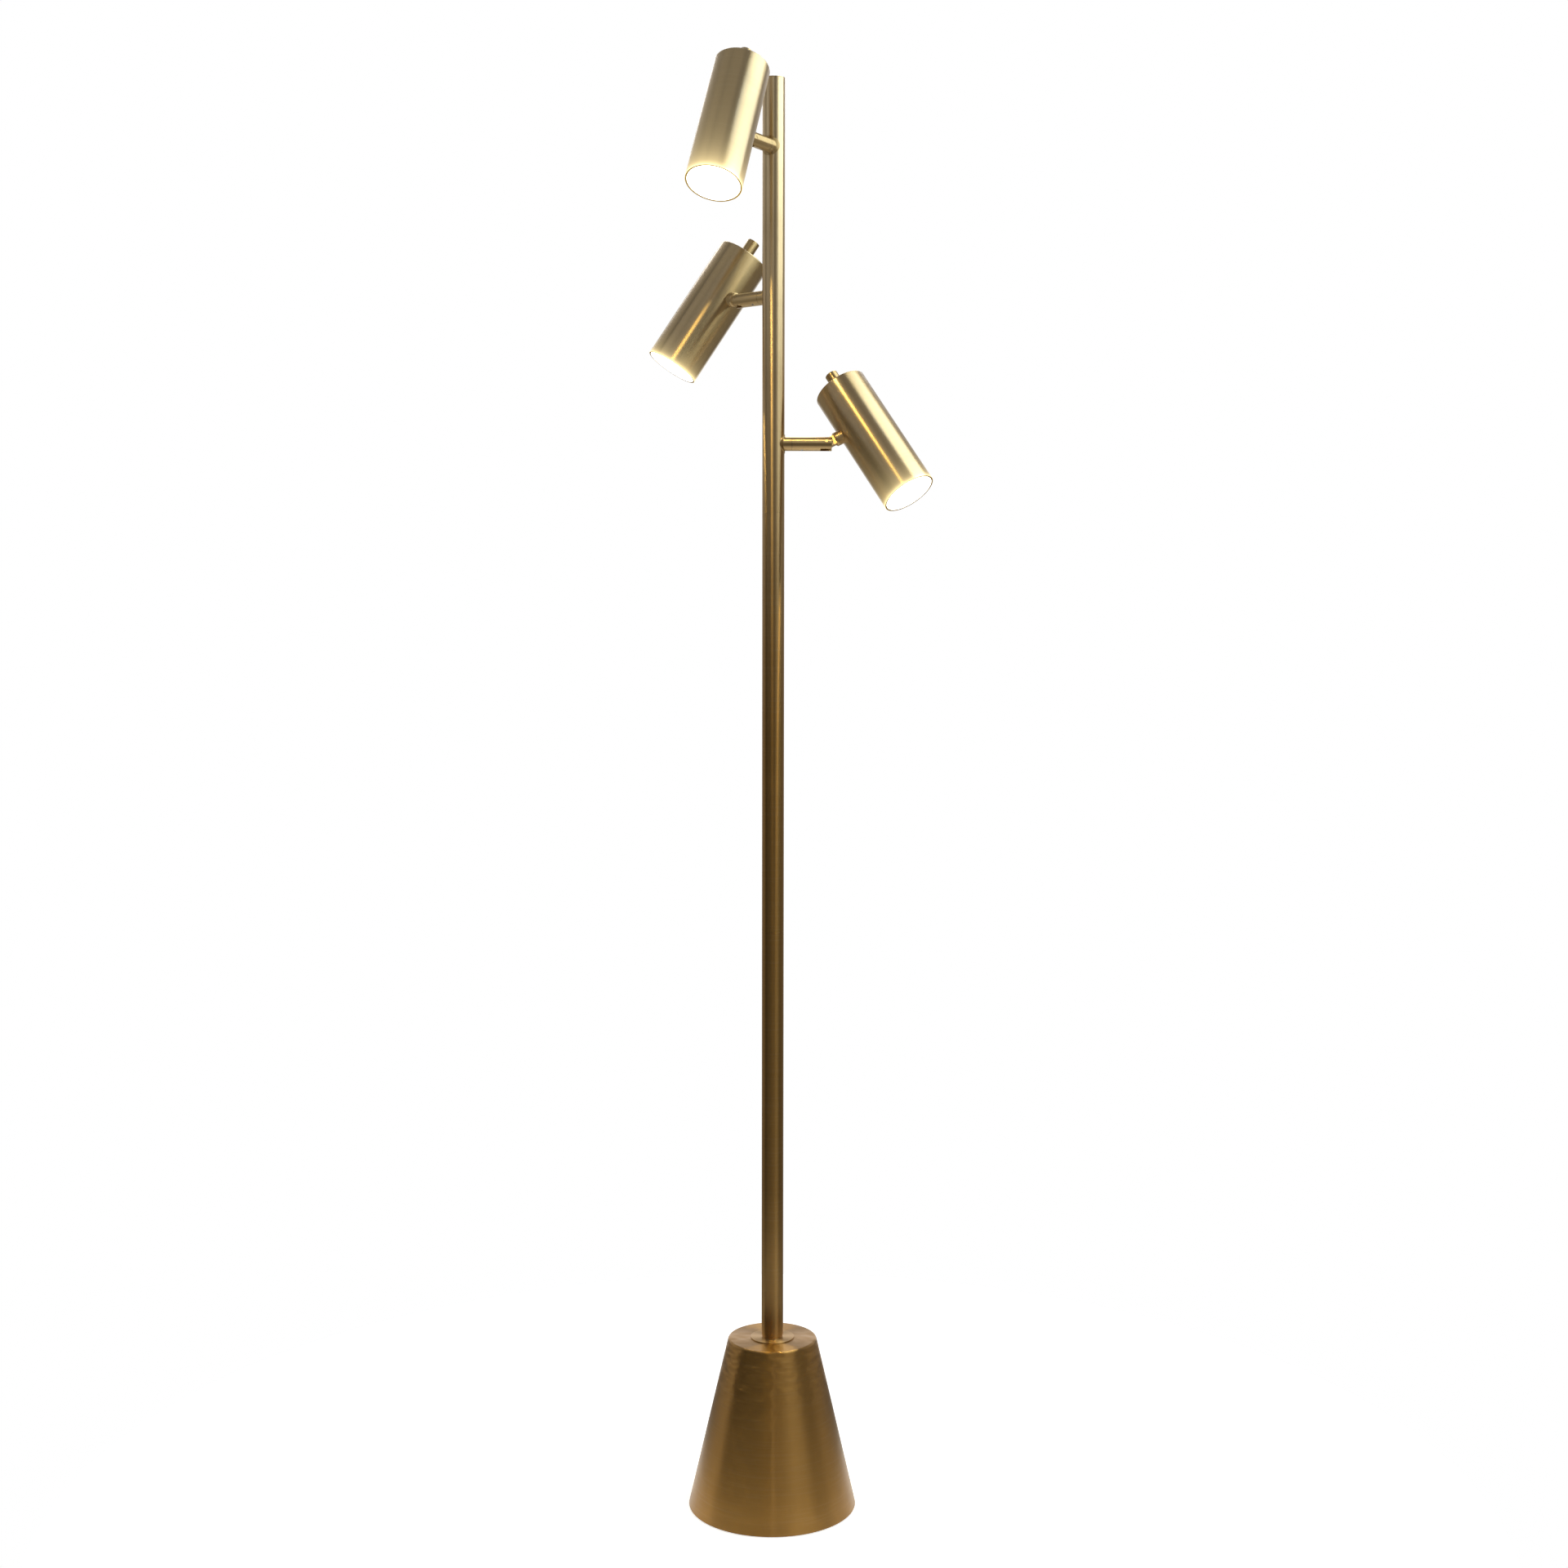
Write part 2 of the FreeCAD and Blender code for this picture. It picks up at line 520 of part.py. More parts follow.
# ---------------------------------------------------------------- heads, in the head's own frame
def knuckle():
    """Flat tongue in the fork, round stub against the shade, threaded tail inside it."""
    tongue = cylinder(TONGUE_W / 2, V(0, -TONGUE_T / 2, 0), TONGUE_T, Y_AXIS)
    bore_start = SHOULDER_X + SHOULDER_ROOT
    tongue = tongue.fuse(Part.makeBox(bore_start, TONGUE_T, TONGUE_W, V(0, -TONGUE_T / 2, -TONGUE_W / 2)))
    stub = cylinder(ARM_R, V(SHOULDER_X, 0, 0), SHADE_AXIS_X - SHOULDER_X, X_AXIS)
    stub = stub.makeChamfer(SHOULDER_CHAMFER, circles_at(stub, ARM_R, SHOULDER_X, axis=0))
    stub = stub.cut(cylinder(SHADE_R, V(SHADE_AXIS_X, 0, -2 * ARM_R), 4 * ARM_R))
    tail = cylinder(TAIL_R, V(bore_start, 0, 0), TAIL_END_X - bore_start, X_AXIS)
    body = tongue.fuse([stub, tail]).removeSplitter()
    body = body.cut(cylinder(KNUCKLE_BORE_R, V(bore_start, 0, 0), TAIL_END_X - bore_start, X_AXIS))
    body = body.cut(cylinder(WIRE_EXIT_R, V(SHOULDER_X - CUT_OVER, WIRE_EXIT_OFFSET, 0),
                             SHOULDER_ROOT + 2 * CUT_OVER, X_AXIS))
    return body.cut(cylinder(PIN_R + RUN_GAP, V(0, -2 * ARM_R, 0), 4 * ARM_R, Y_AXIS))


def knuckle_nut():
    """Hexagon nut on the tail, its face hollowed to sit on the shade's curved wall."""
    start = V(SHADE_SIDE_X + SHADE_WALL, 0, 0)
    thickness = KNUCKLE_NUT_T + NUT_CURVE_DEPTH
    nut = hexagon(KNUCKLE_NUT_FLATS, thickness, start, X_AXIS)
    inside = cylinder(SHADE_INSIDE_R, V(SHADE_AXIS_X, 0, -KNUCKLE_NUT_FLATS), 2 * KNUCKLE_NUT_FLATS)
    return nut.common(inside).cut(cylinder(TAIL_R, start, thickness, X_AXIS))


def shade():
    low = V(SHADE_AXIS_X, 0, SHADE_MOUTH_Z)
    outer = cylinder(SHADE_R, low, SHADE_LENGTH)
    outer = outer.makeFillet(SHADE_BACK_EDGE_R, circles_at(outer, SHADE_R, SHADE_BACK_Z))
    inner = cylinder(SHADE_INSIDE_R, low, SHADE_LENGTH - SHADE_WALL)
    inner = inner.makeFillet(SHADE_BACK_EDGE_R - SHADE_WALL,
                             circles_at(inner, SHADE_INSIDE_R, SHADE_INNER_BACK_Z))
    cup = outer.cut(inner)
    mouth = circles_at(cup, SHADE_R, SHADE_MOUTH_Z)
    cup = cup.makeFillet(SHADE_MOUTH_EDGE_R, mouth)
    cup = cup.cut(cylinder(BUSHING_R + FIT_GAP, V(SHADE_AXIS_X, 0, SHADE_INNER_BACK_Z - CUT_OVER),
                           SHADE_WALL + 2 * CUT_OVER))
    return cup.cut(cylinder(TAIL_R + FIT_GAP, V(SHADE_SIDE_X - CUT_OVER, 0, 0), SHADE_R, X_AXIS))


def switch_body():
    body = cylinder(SWITCH_R, V(SHADE_AXIS_X, 0, SWITCH_LOW_Z), SWITCH_T)
    body = body.makeFillet(SWITCH_EDGE_R, circles_at(body, SWITCH_R, SHADE_INNER_BACK_Z))
    bushing = cylinder(BUSHING_R, V(SHADE_AXIS_X, 0, SHADE_INNER_BACK_Z), SHADE_WALL + BUSHING_OUTSIDE)
    bore_low = SHADE_INNER_BACK_Z - SHAFT_SUNK - FACE_GAP
    bore = cylinder(SHAFT_R + RUN_GAP, V(SHADE_AXIS_X, 0, bore_low),
                    SHADE_BACK_Z + BUSHING_OUTSIDE - bore_low)
    return body.fuse(bushing).removeSplitter().cut(bore)


def switch_nut():
    ring = tube(RING_NUT_R, BUSHING_R, V(SHADE_AXIS_X, 0, SHADE_BACK_Z), RING_NUT_T)
    for turn in (0, 90):
        slot = Part.makeBox(4 * RING_NUT_R, RING_NUT_SLOT_W, RING_NUT_T,
                            V(-2 * RING_NUT_R, -RING_NUT_SLOT_W / 2, 0))
        slot.Placement = FreeCAD.Placement(V(SHADE_AXIS_X, 0, SHADE_BACK_Z + RING_NUT_T / 2),
                                           FreeCAD.Rotation(Z_AXIS, turn))
        ring = ring.cut(slot)
    return ring


def switch_shaft():
    low = V(SHADE_AXIS_X, 0, SHADE_INNER_BACK_Z - SHAFT_SUNK)
    return cylinder(SHAFT_R, low, KNOB_FOOT_Z + KNOB_BORE_DEPTH - low.z)


def knob():
    foot = V(SHADE_AXIS_X, 0, KNOB_FOOT_Z)
    top_z = SHADE_BACK_Z + KNOB_TOP
    body = cylinder(KNOB_R, foot, top_z - KNOB_FOOT_Z)
    body = body.makeFillet(KNOB_EDGE_R, circles_at(body, KNOB_R, top_z))
    body = body.makeChamfer(KNOB_FOOT_CHAMFER, circles_at(body, KNOB_R, foot.z))
    return body.cut(cylinder(SHAFT_R, foot, KNOB_BORE_DEPTH))


def lamp_holder():
    low = V(SHADE_AXIS_X, 0, HOLDER_LOW_Z)
    body = cylinder(HOLDER_R, low, HOLDER_LENGTH)
    body = body.makeFillet(HOLDER_EDGE_R, circles_at(body, HOLDER_R, SWITCH_LOW_Z))
    body = body.makeFillet(HOLDER_MOUTH_R, circles_at(body, HOLDER_R, HOLDER_LOW_Z))
    return body.cut(cylinder(BULB_BASE_R + BULB_BASE_GAP, low, HOLDER_FLOOR_Z - HOLDER_LOW_Z))


def bulb_base():
    """Screw shell with rolled ridges and the contact button at its end."""
    ridge = BULB_BASE_LENGTH / (2 * BULB_RIDGES + 3)
    points = [(0, BULB_TOP_Z), (BULB_BASE_R, BULB_TOP_Z)]
    height = BULB_TOP_Z + 2 * ridge
    points.append((BULB_BASE_R, height))
    for _ in range(BULB_RIDGES):
        points.append((BULB_BASE_R - BULB_RIDGE_DEPTH, height + ridge))
        points.append((BULB_BASE_R, height + 2 * ridge))
        height += 2 * ridge
    points += [(BULB_CONTACT_R, BULB_BASE_TOP_Z), (BULB_CONTACT_R, BULB_BASE_TOP_Z + BULB_CONTACT_T),
               (0, BULB_BASE_TOP_Z + BULB_CONTACT_T)]
    return revolved(points, V(SHADE_AXIS_X, 0, 0))


def bulb_profile(offset):
    """Half outline of the bulb, from its neck to its tip, moved inward by offset."""
    tip_z = BULB_TOP_Z - BULB_LENGTH + offset
    centre_z = BULB_TOP_Z - BULB_LENGTH + BULB_R
    radius = BULB_R - offset
    neck_r = BULB_NECK_R - offset
    belly_end = V(SHADE_AXIS_X + radius, 0, centre_z)
    neck_low = V(SHADE_AXIS_X + neck_r, 0, BULB_TOP_Z - BULB_LENGTH / 5)
    neck_high = V(SHADE_AXIS_X + neck_r, 0, BULB_TOP_Z)
    tip = V(SHADE_AXIS_X, 0, tip_z)
    low_middle = V(SHADE_AXIS_X + radius * math.sin(math.radians(45)), 0,
                   centre_z - radius * math.cos(math.radians(45)))
    belly = Part.Arc(tip, low_middle, belly_end).toShape()
    flank = Part.BezierCurve()
    flank.setPoles([belly_end, belly_end + V(0, 0, BULB_LENGTH / 5),
                    neck_low - V(0, 0, BULB_LENGTH / 6), neck_low])
    return [belly, flank.toShape(), Part.makeLine(neck_low, neck_high)], tip, neck_high


def bulb_glass():
    outside, outer_tip, outer_neck = bulb_profile(0)
    inside, inner_tip, inner_neck = bulb_profile(BULB_WALL)
    edges = outside + inside + [Part.makeLine(outer_tip, inner_tip), Part.makeLine(outer_neck, inner_neck)]
    wire = Part.Wire(Part.__sortEdges__(edges))
    return Part.Face(wire).revolve(V(SHADE_AXIS_X, 0, 0), Z_AXIS, 360)


# ---------------------------------------------------------------- build
save("base_cone", base_cone())
save("cord_bush", cord_bush())
save("base_weight", base_weight())
save("base_plate", base_plate())
save("plate_screws", plate_screws())
save("floor_pad", floor_pad())
save("base_disc", base_disc())
save("tie_rod", tie_rod())
save("rod_nut", rod_nut())

save("foot_insert", foot_insert())
for tube_number, tube_name in enumerate(TUBE_NAMES):
    save(tube_name, pole_tube(tube_number))
save("pole_cap", pole_cap())
save("tube_inserts", tube_inserts())
save("coupling_nipples", coupling_nipples())
save("pole_leads", pole_leads())

save("swivel_washers", Part.makeCompound([placed(swivel_washer(), arm_placement(arm, swivel=False))
                                          for arm in ARMS.values()]))
ARM_PIECES = {"arm_sleeve": arm_sleeve, "arm_screw": grub_screw, "pivot_pin": pivot_pin}
HEAD_PIECES = {
    "knuckle": knuckle, "knuckle_nut": knuckle_nut, "shade": shade, "lamp_holder": lamp_holder,
    "bulb_base": bulb_base, "bulb": bulb_glass, "switch": switch_body, "switch_nut": switch_nut,
    "switch_shaft": switch_shaft, "knob": knob,
}
for place, arm in ARMS.items():
    save(place + "_arm_boss", placed(arm_boss(), arm_placement(arm, swivel=False)))
    for piece, make in ARM_PIECES.items():
        save(place + "_" + piece, placed(make(), arm_placement(arm)))
    for piece, make in HEAD_PIECES.items():
        save(place + "_" + piece, placed(make(), head_placement(arm)))
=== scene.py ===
# %% [markdown]
# # A tree floor lamp in brushed brass
# This lesson dresses a lamp that already exists as exact, engineered solids: a weighted cone base, a
# three-piece pole and three cylinder heads that swivel and tilt. The solids say where everything is
# and how it moves. Blender adds what the eye notices: turned and spun metal with soft edges, lathe
# lines, patina, lacquer, felt, rubber, and lamps that are switched on.
#
# The file is read cell by cell. Every measure is in metres, +Z is up, and -Y is the front.

# %% Load the engineered lamp
import json
import math
import bpy
from mathutils import Matrix, Vector


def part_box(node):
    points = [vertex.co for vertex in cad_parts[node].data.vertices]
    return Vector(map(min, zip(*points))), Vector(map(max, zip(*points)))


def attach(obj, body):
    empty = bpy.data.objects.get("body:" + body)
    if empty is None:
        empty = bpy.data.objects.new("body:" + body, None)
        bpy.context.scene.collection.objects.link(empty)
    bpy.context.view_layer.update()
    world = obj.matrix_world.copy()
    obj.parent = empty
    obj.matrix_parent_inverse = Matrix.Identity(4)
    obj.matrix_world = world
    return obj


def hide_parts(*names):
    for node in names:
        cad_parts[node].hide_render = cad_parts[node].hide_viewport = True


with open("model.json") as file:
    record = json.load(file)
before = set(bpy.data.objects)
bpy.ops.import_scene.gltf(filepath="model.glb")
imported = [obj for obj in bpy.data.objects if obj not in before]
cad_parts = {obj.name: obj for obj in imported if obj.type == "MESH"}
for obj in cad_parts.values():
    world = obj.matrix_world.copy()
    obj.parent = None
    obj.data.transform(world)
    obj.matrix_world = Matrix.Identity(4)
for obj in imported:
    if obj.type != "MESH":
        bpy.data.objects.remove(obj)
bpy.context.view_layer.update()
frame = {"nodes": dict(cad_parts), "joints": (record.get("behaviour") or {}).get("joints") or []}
MM = 0.001

# %% [markdown]
# ## Where each arm and head points
# The three heads are aimed differently, so nothing about them lines up with the world's axes. They
# could be measured by eye, but the joints already know the answer: the swivel turns about the arm,
# the tilt about the knuckle's pin, and the knob about the shade's own axis. Two of those directions
# make a small frame of reference for each arm and each head. In it a shade is a plain upright
# cylinder, which is much easier to model, and the frame's matrix carries the result to its place.

# %% A frame of reference for each arm and head
HEADS = ("top", "middle", "bottom")
joints = {joint["name"]: joint for joint in frame["joints"]}


def frame_at(origin, z_axis, y_axis):
    """A matrix with the given origin and Z, and with X square to Z and to the given Y."""
    z_axis = Vector(z_axis).normalized()
    x_axis = Vector(y_axis).cross(z_axis).normalized()
    y_axis = z_axis.cross(x_axis)
    turn = Matrix((x_axis, y_axis, z_axis)).transposed().to_4x4()
    return Matrix.Translation(Vector(origin)) @ turn


ARM_PLACE = {}
HEAD_PLACE = {}
for head in HEADS:
    swivel = joints[head + "_arm_swivel"]
    tilt = joints[head + "_shade_tilt"]
    knob_turn = joints[head + "_knob_turn"]
    pin_line = -Vector(tilt["axis"])
    ARM_PLACE[head] = frame_at(swivel["pos_m"], swivel["axis"], pin_line)
    HEAD_PLACE[head] = frame_at(knob_turn["pos_m"], knob_turn["axis"], pin_line)
    print(head, "shade's back centre", [round(value, 3) for value in knob_turn["pos_m"]])

# %% [markdown]
# Sizes are read from the solids in those same frames, so a changed model changes this one too.

# %% Measure the solids in their own frames


def local_box(node, place=Matrix.Identity(4)):
    """A solid's lowest and highest corner, seen from a frame of reference."""
    inverse = place.inverted()
    points = [inverse @ vertex.co for vertex in frame["nodes"][node].data.vertices]
    low = Vector([min(point[axis] for point in points) for axis in range(3)])
    high = Vector([max(point[axis] for point in points) for axis in range(3)])
    return low, high


shade_low, shade_high = local_box("top_shade", HEAD_PLACE["top"])
SHADE_R = shade_high.y
SHADE_MOUTH = shade_low.z
knob_low, knob_high = local_box("top_knob", HEAD_PLACE["top"])
bulb_low, bulb_high = local_box("top_bulb", HEAD_PLACE["top"])
cone_low, cone_high = local_box("base_cone")
print("shade radius", round(SHADE_R / MM, 1), "length", round(-SHADE_MOUTH / MM, 1), "mm")

# %% [markdown]
# ## A lathe made of edit-mode operators
# Nearly every piece of this lamp is made on a lathe or spun over a former, so nearly every piece is a
# half outline turned about an axis. It could be a primitive cylinder with bevels, but an outline
# says the whole shape at once: walls, rounded edges and bores. The recipe: merge a small plane to one
# vertex, extrude it from point to point along the outline, spin the line through a full turn, merge
# the seam, and let Blender point the faces outwards.

# %% The lathe
SEAM = 0.002 * MM


def turned(name, outline, steps=128, smooth_degrees=40):
    """Turns a half outline of (radius, height) points about Z, as a lathe turns a blank."""
    bpy.ops.object.select_all(action="DESELECT")
    bpy.ops.mesh.primitive_plane_add(size=MM)
    piece = bpy.context.object
    piece.name = piece.data.name = name
    bpy.ops.object.mode_set(mode="EDIT")
    bpy.ops.mesh.merge(type="CENTER")
    radius, height = outline[0]
    bpy.ops.transform.translate(value=(radius, 0, height))
    for next_radius, next_height in outline[1:]:
        step = (next_radius - radius, 0, next_height - height)
        bpy.ops.mesh.extrude_region_move(TRANSFORM_OT_translate={"value": step})
        radius, height = next_radius, next_height
    bpy.ops.mesh.select_all(action="SELECT")
    bpy.ops.mesh.spin(steps=steps, angle=math.tau, center=(0, 0, 0), axis=(0, 0, 1))
    bpy.ops.mesh.select_all(action="SELECT")
    bpy.ops.mesh.remove_doubles(threshold=SEAM)
    bpy.ops.mesh.normals_make_consistent(inside=False)
    bpy.ops.object.mode_set(mode="OBJECT")
    bpy.ops.object.shade_smooth_by_angle(angle=math.radians(smooth_degrees))
    return piece


def corner(centre_radius, centre_height, radius, start, end, steps=5):
    """Points of a rounded corner, from one angle to another in degrees, 0 pointing outwards."""
    angles = [math.radians(start + (end - start) * step / steps) for step in range(steps + 1)]
    return [(centre_radius + radius * math.cos(angle), centre_height + radius * math.sin(angle))
            for angle in angles]


def copy_to(piece, name, place):
    """A copy with its own mesh, whose points are carried to a place; the object stays at zero."""
    made = piece.copy()
    made.data = piece.data.copy()
    made.name = made.data.name = name
    made.data.transform(place)
    bpy.context.scene.collection.objects.link(made)
    return made


# %% [markdown]
# ## The studio: camera
# The photograph is taken from 2.6 m away with a short telephoto lens, at chest height and tipped down
# almost six degrees, so we look down on the base and up into the shades. Those numbers were found by
# fitting a pinhole camera to the lamp's outline. The camera is built from its viewing direction,
# which is easier to check than three angles.

# %% Set up the camera
CAMERA_AT = Vector((0, -2.576, 1.123))
CAMERA_PITCH = math.radians(5.889)
CAMERA_PAN = math.radians(0.281)
CAMERA_ROLL = math.radians(0.098)
FOCAL_PIXELS = 2760.5
PICTURE_PIXELS = 1920
SENSOR_MM = 36

lens = bpy.data.cameras.new("studio_camera")
lens.sensor_width = SENSOR_MM
lens.lens = FOCAL_PIXELS / PICTURE_PIXELS * SENSOR_MM
camera = bpy.data.objects.new("studio_camera", lens)
bpy.context.scene.collection.objects.link(camera)
pan_turn = Matrix.Rotation(-CAMERA_PAN, 4, "Z")
pitch_turn = Matrix.Rotation(math.pi / 2 - CAMERA_PITCH, 4, "X")
roll_turn = Matrix.Rotation(CAMERA_ROLL, 4, "Z")
camera.matrix_world = Matrix.Translation(CAMERA_AT) @ pan_turn @ pitch_turn @ roll_turn
bpy.context.scene.camera = camera
bpy.context.scene.view_settings.view_transform = "Standard"
print("lens", round(lens.lens, 2), "mm")

# %% [markdown]
# ## Words for building materials
# A material is a small network of nodes. A few helpers keep the network readable: `add_node` makes a
# node and fills or links its sockets in one go, `math_node` does arithmetic on sockets, `map_range`
# turns one range of numbers softly into another, and `mix_colour` and `noise` do what they say.

# %% Helpers for node networks


def add_node(tree, kind, inputs=None, **settings):
    """Adds a node; each input is a plain value or another node's output."""
    made = tree.nodes.new(kind)
    for key, value in settings.items():
        setattr(made, key, value)
    for key, value in (inputs or {}).items():
        if isinstance(value, bpy.types.NodeSocket):
            tree.links.new(value, made.inputs[key])
        else:
            made.inputs[key].default_value = value
    return made


def math_node(tree, operation, *values):
    """Arithmetic on plain values or other nodes' outputs."""
    return add_node(tree, "ShaderNodeMath", dict(enumerate(values)), operation=operation).outputs[0]


def map_range(tree, value, low, high, to_low=0.0, to_high=1.0, kind="SMOOTHSTEP"):
    """Carries low to to_low and high to to_high, and stays level outside them."""
    sockets = {"Value": value, "From Min": low, "From Max": high, "To Min": to_low, "To Max": to_high}
    return add_node(tree, "ShaderNodeMapRange", sockets, interpolation_type=kind).outputs["Result"]


def mix_colour(tree, factor, first, second):
    """Blends two colours; factor 0 gives the first. On this node, colours have sockets 6, 7 and 2."""
    sockets = {0: factor, 6: first, 7: second}
    return add_node(tree, "ShaderNodeMix", sockets, data_type="RGBA").outputs[2]


def noise(tree, vector, scale, detail=2.0, roughness=0.5):
    """Soft clouds from 0 to 1; scale is clouds per metre."""
    sockets = {"Vector": vector, "Scale": scale, "Detail": detail, "Roughness": roughness}
    return add_node(tree, "ShaderNodeTexNoise", sockets).outputs["Fac"]


def object_coordinates(tree):
    """A point's own place on its piece, which rides along when the piece moves."""
    return add_node(tree, "ShaderNodeTexCoord").outputs["Object"]


def new_material(name, tint):
    """An empty material with an output; tint is its colour in the plain viewport."""
    material = bpy.data.materials.new(name)
    material.use_nodes = True
    material.diffuse_color = (*tint, 1)
    material.node_tree.nodes.clear()
    return material, material.node_tree


def finish_material(tree, shader):
    """Links the finished shader to the material's output."""
    output = add_node(tree, "ShaderNodeOutputMaterial")
    tree.links.new(shader, output.inputs["Surface"])


def coat_with(material, *names):
    """Gives one material to CAD nodes or new pieces, by name."""
    for name in names:
        piece = bpy.data.objects[name]
        piece.data.materials.clear()
        piece.data.materials.append(material)


# %% [markdown]
# ## Brushed antique brass
# The lamp is steel with a brass plate, brushed while it turns and then lacquered. Brushing leaves
# thousands of fine rings round each piece, and they are why its highlights run along the tubes as
# long soft stripes. An image of scratches could fake that, but it would need unwrapping and it would
# blur close up. Here the rings are real to the shader: the anisotropic lobe is stretched square to
# them. Which way the rings run is worked out from each piece's own turning axis: `ring` is the
# direction round the axis, and the highlight's direction is square to both the ring and the surface.
#
# On top of that come fine lathe lines in the roughness and in a very shallow bump, a slow drift of
# patina in the colour, and a thin clear coat for the lacquer.

# %% Coordinates round a turning axis


def axis_coordinates(tree, place):
    """Object coordinates seen from the frame of a turning axis, and the highlight's direction."""
    turn = place.to_euler()
    undo_place = {"Vector": object_coordinates(tree), "Location": place.translation, "Rotation": turn}
    local = add_node(tree, "ShaderNodeMapping", undo_place, vector_type="TEXTURE").outputs[0]
    parts = add_node(tree, "ShaderNodeSeparateXYZ", {"Vector": local})
    minus_y = math_node(tree, "MULTIPLY", parts.outputs["Y"], -1.0)
    ring = add_node(tree, "ShaderNodeCombineXYZ", {"X": minus_y, "Y": parts.outputs["X"]})
    ring = add_node(tree, "ShaderNodeMapping", {"Vector": ring.outputs[0], "Rotation": turn},
                    vector_type="VECTOR").outputs[0]
    ring = add_node(tree, "ShaderNodeVectorTransform", {"Vector": ring}, vector_type="VECTOR",
                    convert_from="OBJECT", convert_to="WORLD").outputs[0]
    normal = add_node(tree, "ShaderNodeNewGeometry").outputs["Normal"]
    stretch = add_node(tree, "ShaderNodeVectorMath", {0: ring, 1: normal}, operation="CROSS_PRODUCT")
    stretch = add_node(tree, "ShaderNodeVectorMath", {0: stretch.outputs[0]}, operation="NORMALIZE")
    return local, parts, stretch.outputs[0]


# %% [markdown]
# The stand's colour is pale gold at the top and deepens to bronze on its way down: painted shade and
# warm light, as low down the metal mirrors little light and that little is warm. A short stretch
# above the cone is lighter again, which is painted light. The cone's bronze and the bottom head's
# warmer gold are painted warm light in the same way. The shades carry more lacquer than the rest: its
# colourless gloss is what turns their brightest stripe from gold to nearly white.

# %% Tones, painted shade and light, wear and lacquer
PALE_GOLD = (0.66, 0.51, 0.30, 1)
CHAMPAGNE = (0.48, 0.345, 0.165, 1)
# The bottom head's warmer gold is painted warm light; its brass is the same as the other heads'.
GOLD = (0.50, 0.345, 0.155, 1)
# The cone's bronze is painted shade and warm light; its brass is the same as the pole's.
BRONZE = (0.42, 0.225, 0.06, 1)
# Painted shade and warm light for the lower stand, blended in below its pale top.
LOW_SHADE_BRONZE = (0.33, 0.185, 0.055, 1)
# Painted light that lightens the pole's foot.
FOOT_LIGHT_BRONZE = (0.55, 0.33, 0.12, 1)
# Heights in metres: the painted shade is full below the first and gone above the second.
SHADE_BELOW, LIGHT_ABOVE = 0.85, 1.65
FOOT_ABOVE, FOOT_BELOW = 0.22, 0.40
DARK_PATINA, PATINA_SHARE = (0.16, 0.09, 0.03, 1), 0.16
WORN_GOLD, WORN_SHARE = (0.95, 0.83, 0.58, 1), 0.03
THIN_LACQUER = (0.2, 1.5)
THICK_LACQUER = (0.5, 1.9)
LACQUER_ROUGHNESS = 0.22
print("stand's colour drifts from", SHADE_BELOW, "to", LIGHT_ABOVE, "m")

# %% Lathe lines, patina and touch
FINE_LINES = 2600.0
WIDE_LINES = 420.0
LINES_ROUND = 18.0


def lathe_lines(tree, local, line_scale):
    """Noise that changes quickly along the axis and slowly round it, in lines per metre."""
    squeezed = add_node(tree, "ShaderNodeMapping",
                        {"Vector": local, "Scale": (LINES_ROUND, LINES_ROUND, line_scale)})
    return noise(tree, squeezed.outputs[0], 1.0, 3.0, 0.6)


def worn(tree, local, wide, tone):
    """Patina in slow clouds, and a little wear on the wider lathe lines."""
    darker = mix_colour(tree, PATINA_SHARE, tone, DARK_PATINA)
    patina = map_range(tree, noise(tree, local, 9.0, 3.0, 0.55), 0.42, 0.72)
    tone = mix_colour(tree, patina, tone, darker)
    paler = mix_colour(tree, WORN_SHARE, tone, WORN_GOLD)
    return mix_colour(tree, map_range(tree, wide, 0.45, 0.75), tone, paler)


def handled(tree, local, fine, roughness):
    """Roughness that changes with each fine line, and a little more where hands have been."""
    rough = math_node(tree, "MULTIPLY_ADD", fine, 0.05, roughness - 0.03)
    smudge = map_range(tree, noise(tree, local, 34.0, 2.0), 0.5, 0.8)
    return math_node(tree, "MULTIPLY_ADD", smudge, 0.03, rough)


# %% [markdown]
# Now the parts come together in one recipe, which every brass piece uses with its own axis and tone.
# Three extras that only some pieces need, the cone's ripples, the shades' glow and the light under
# the arms, are written in the cells after it.

# %% The brass itself
LINE_DEPTH = 0.05 * MM
LINE_STRENGTH = 0.03
BRUSH_ROUGHNESS = 0.35
SPUN_ROUGHNESS = 0.30
BRUSH_STRETCH = 1.0


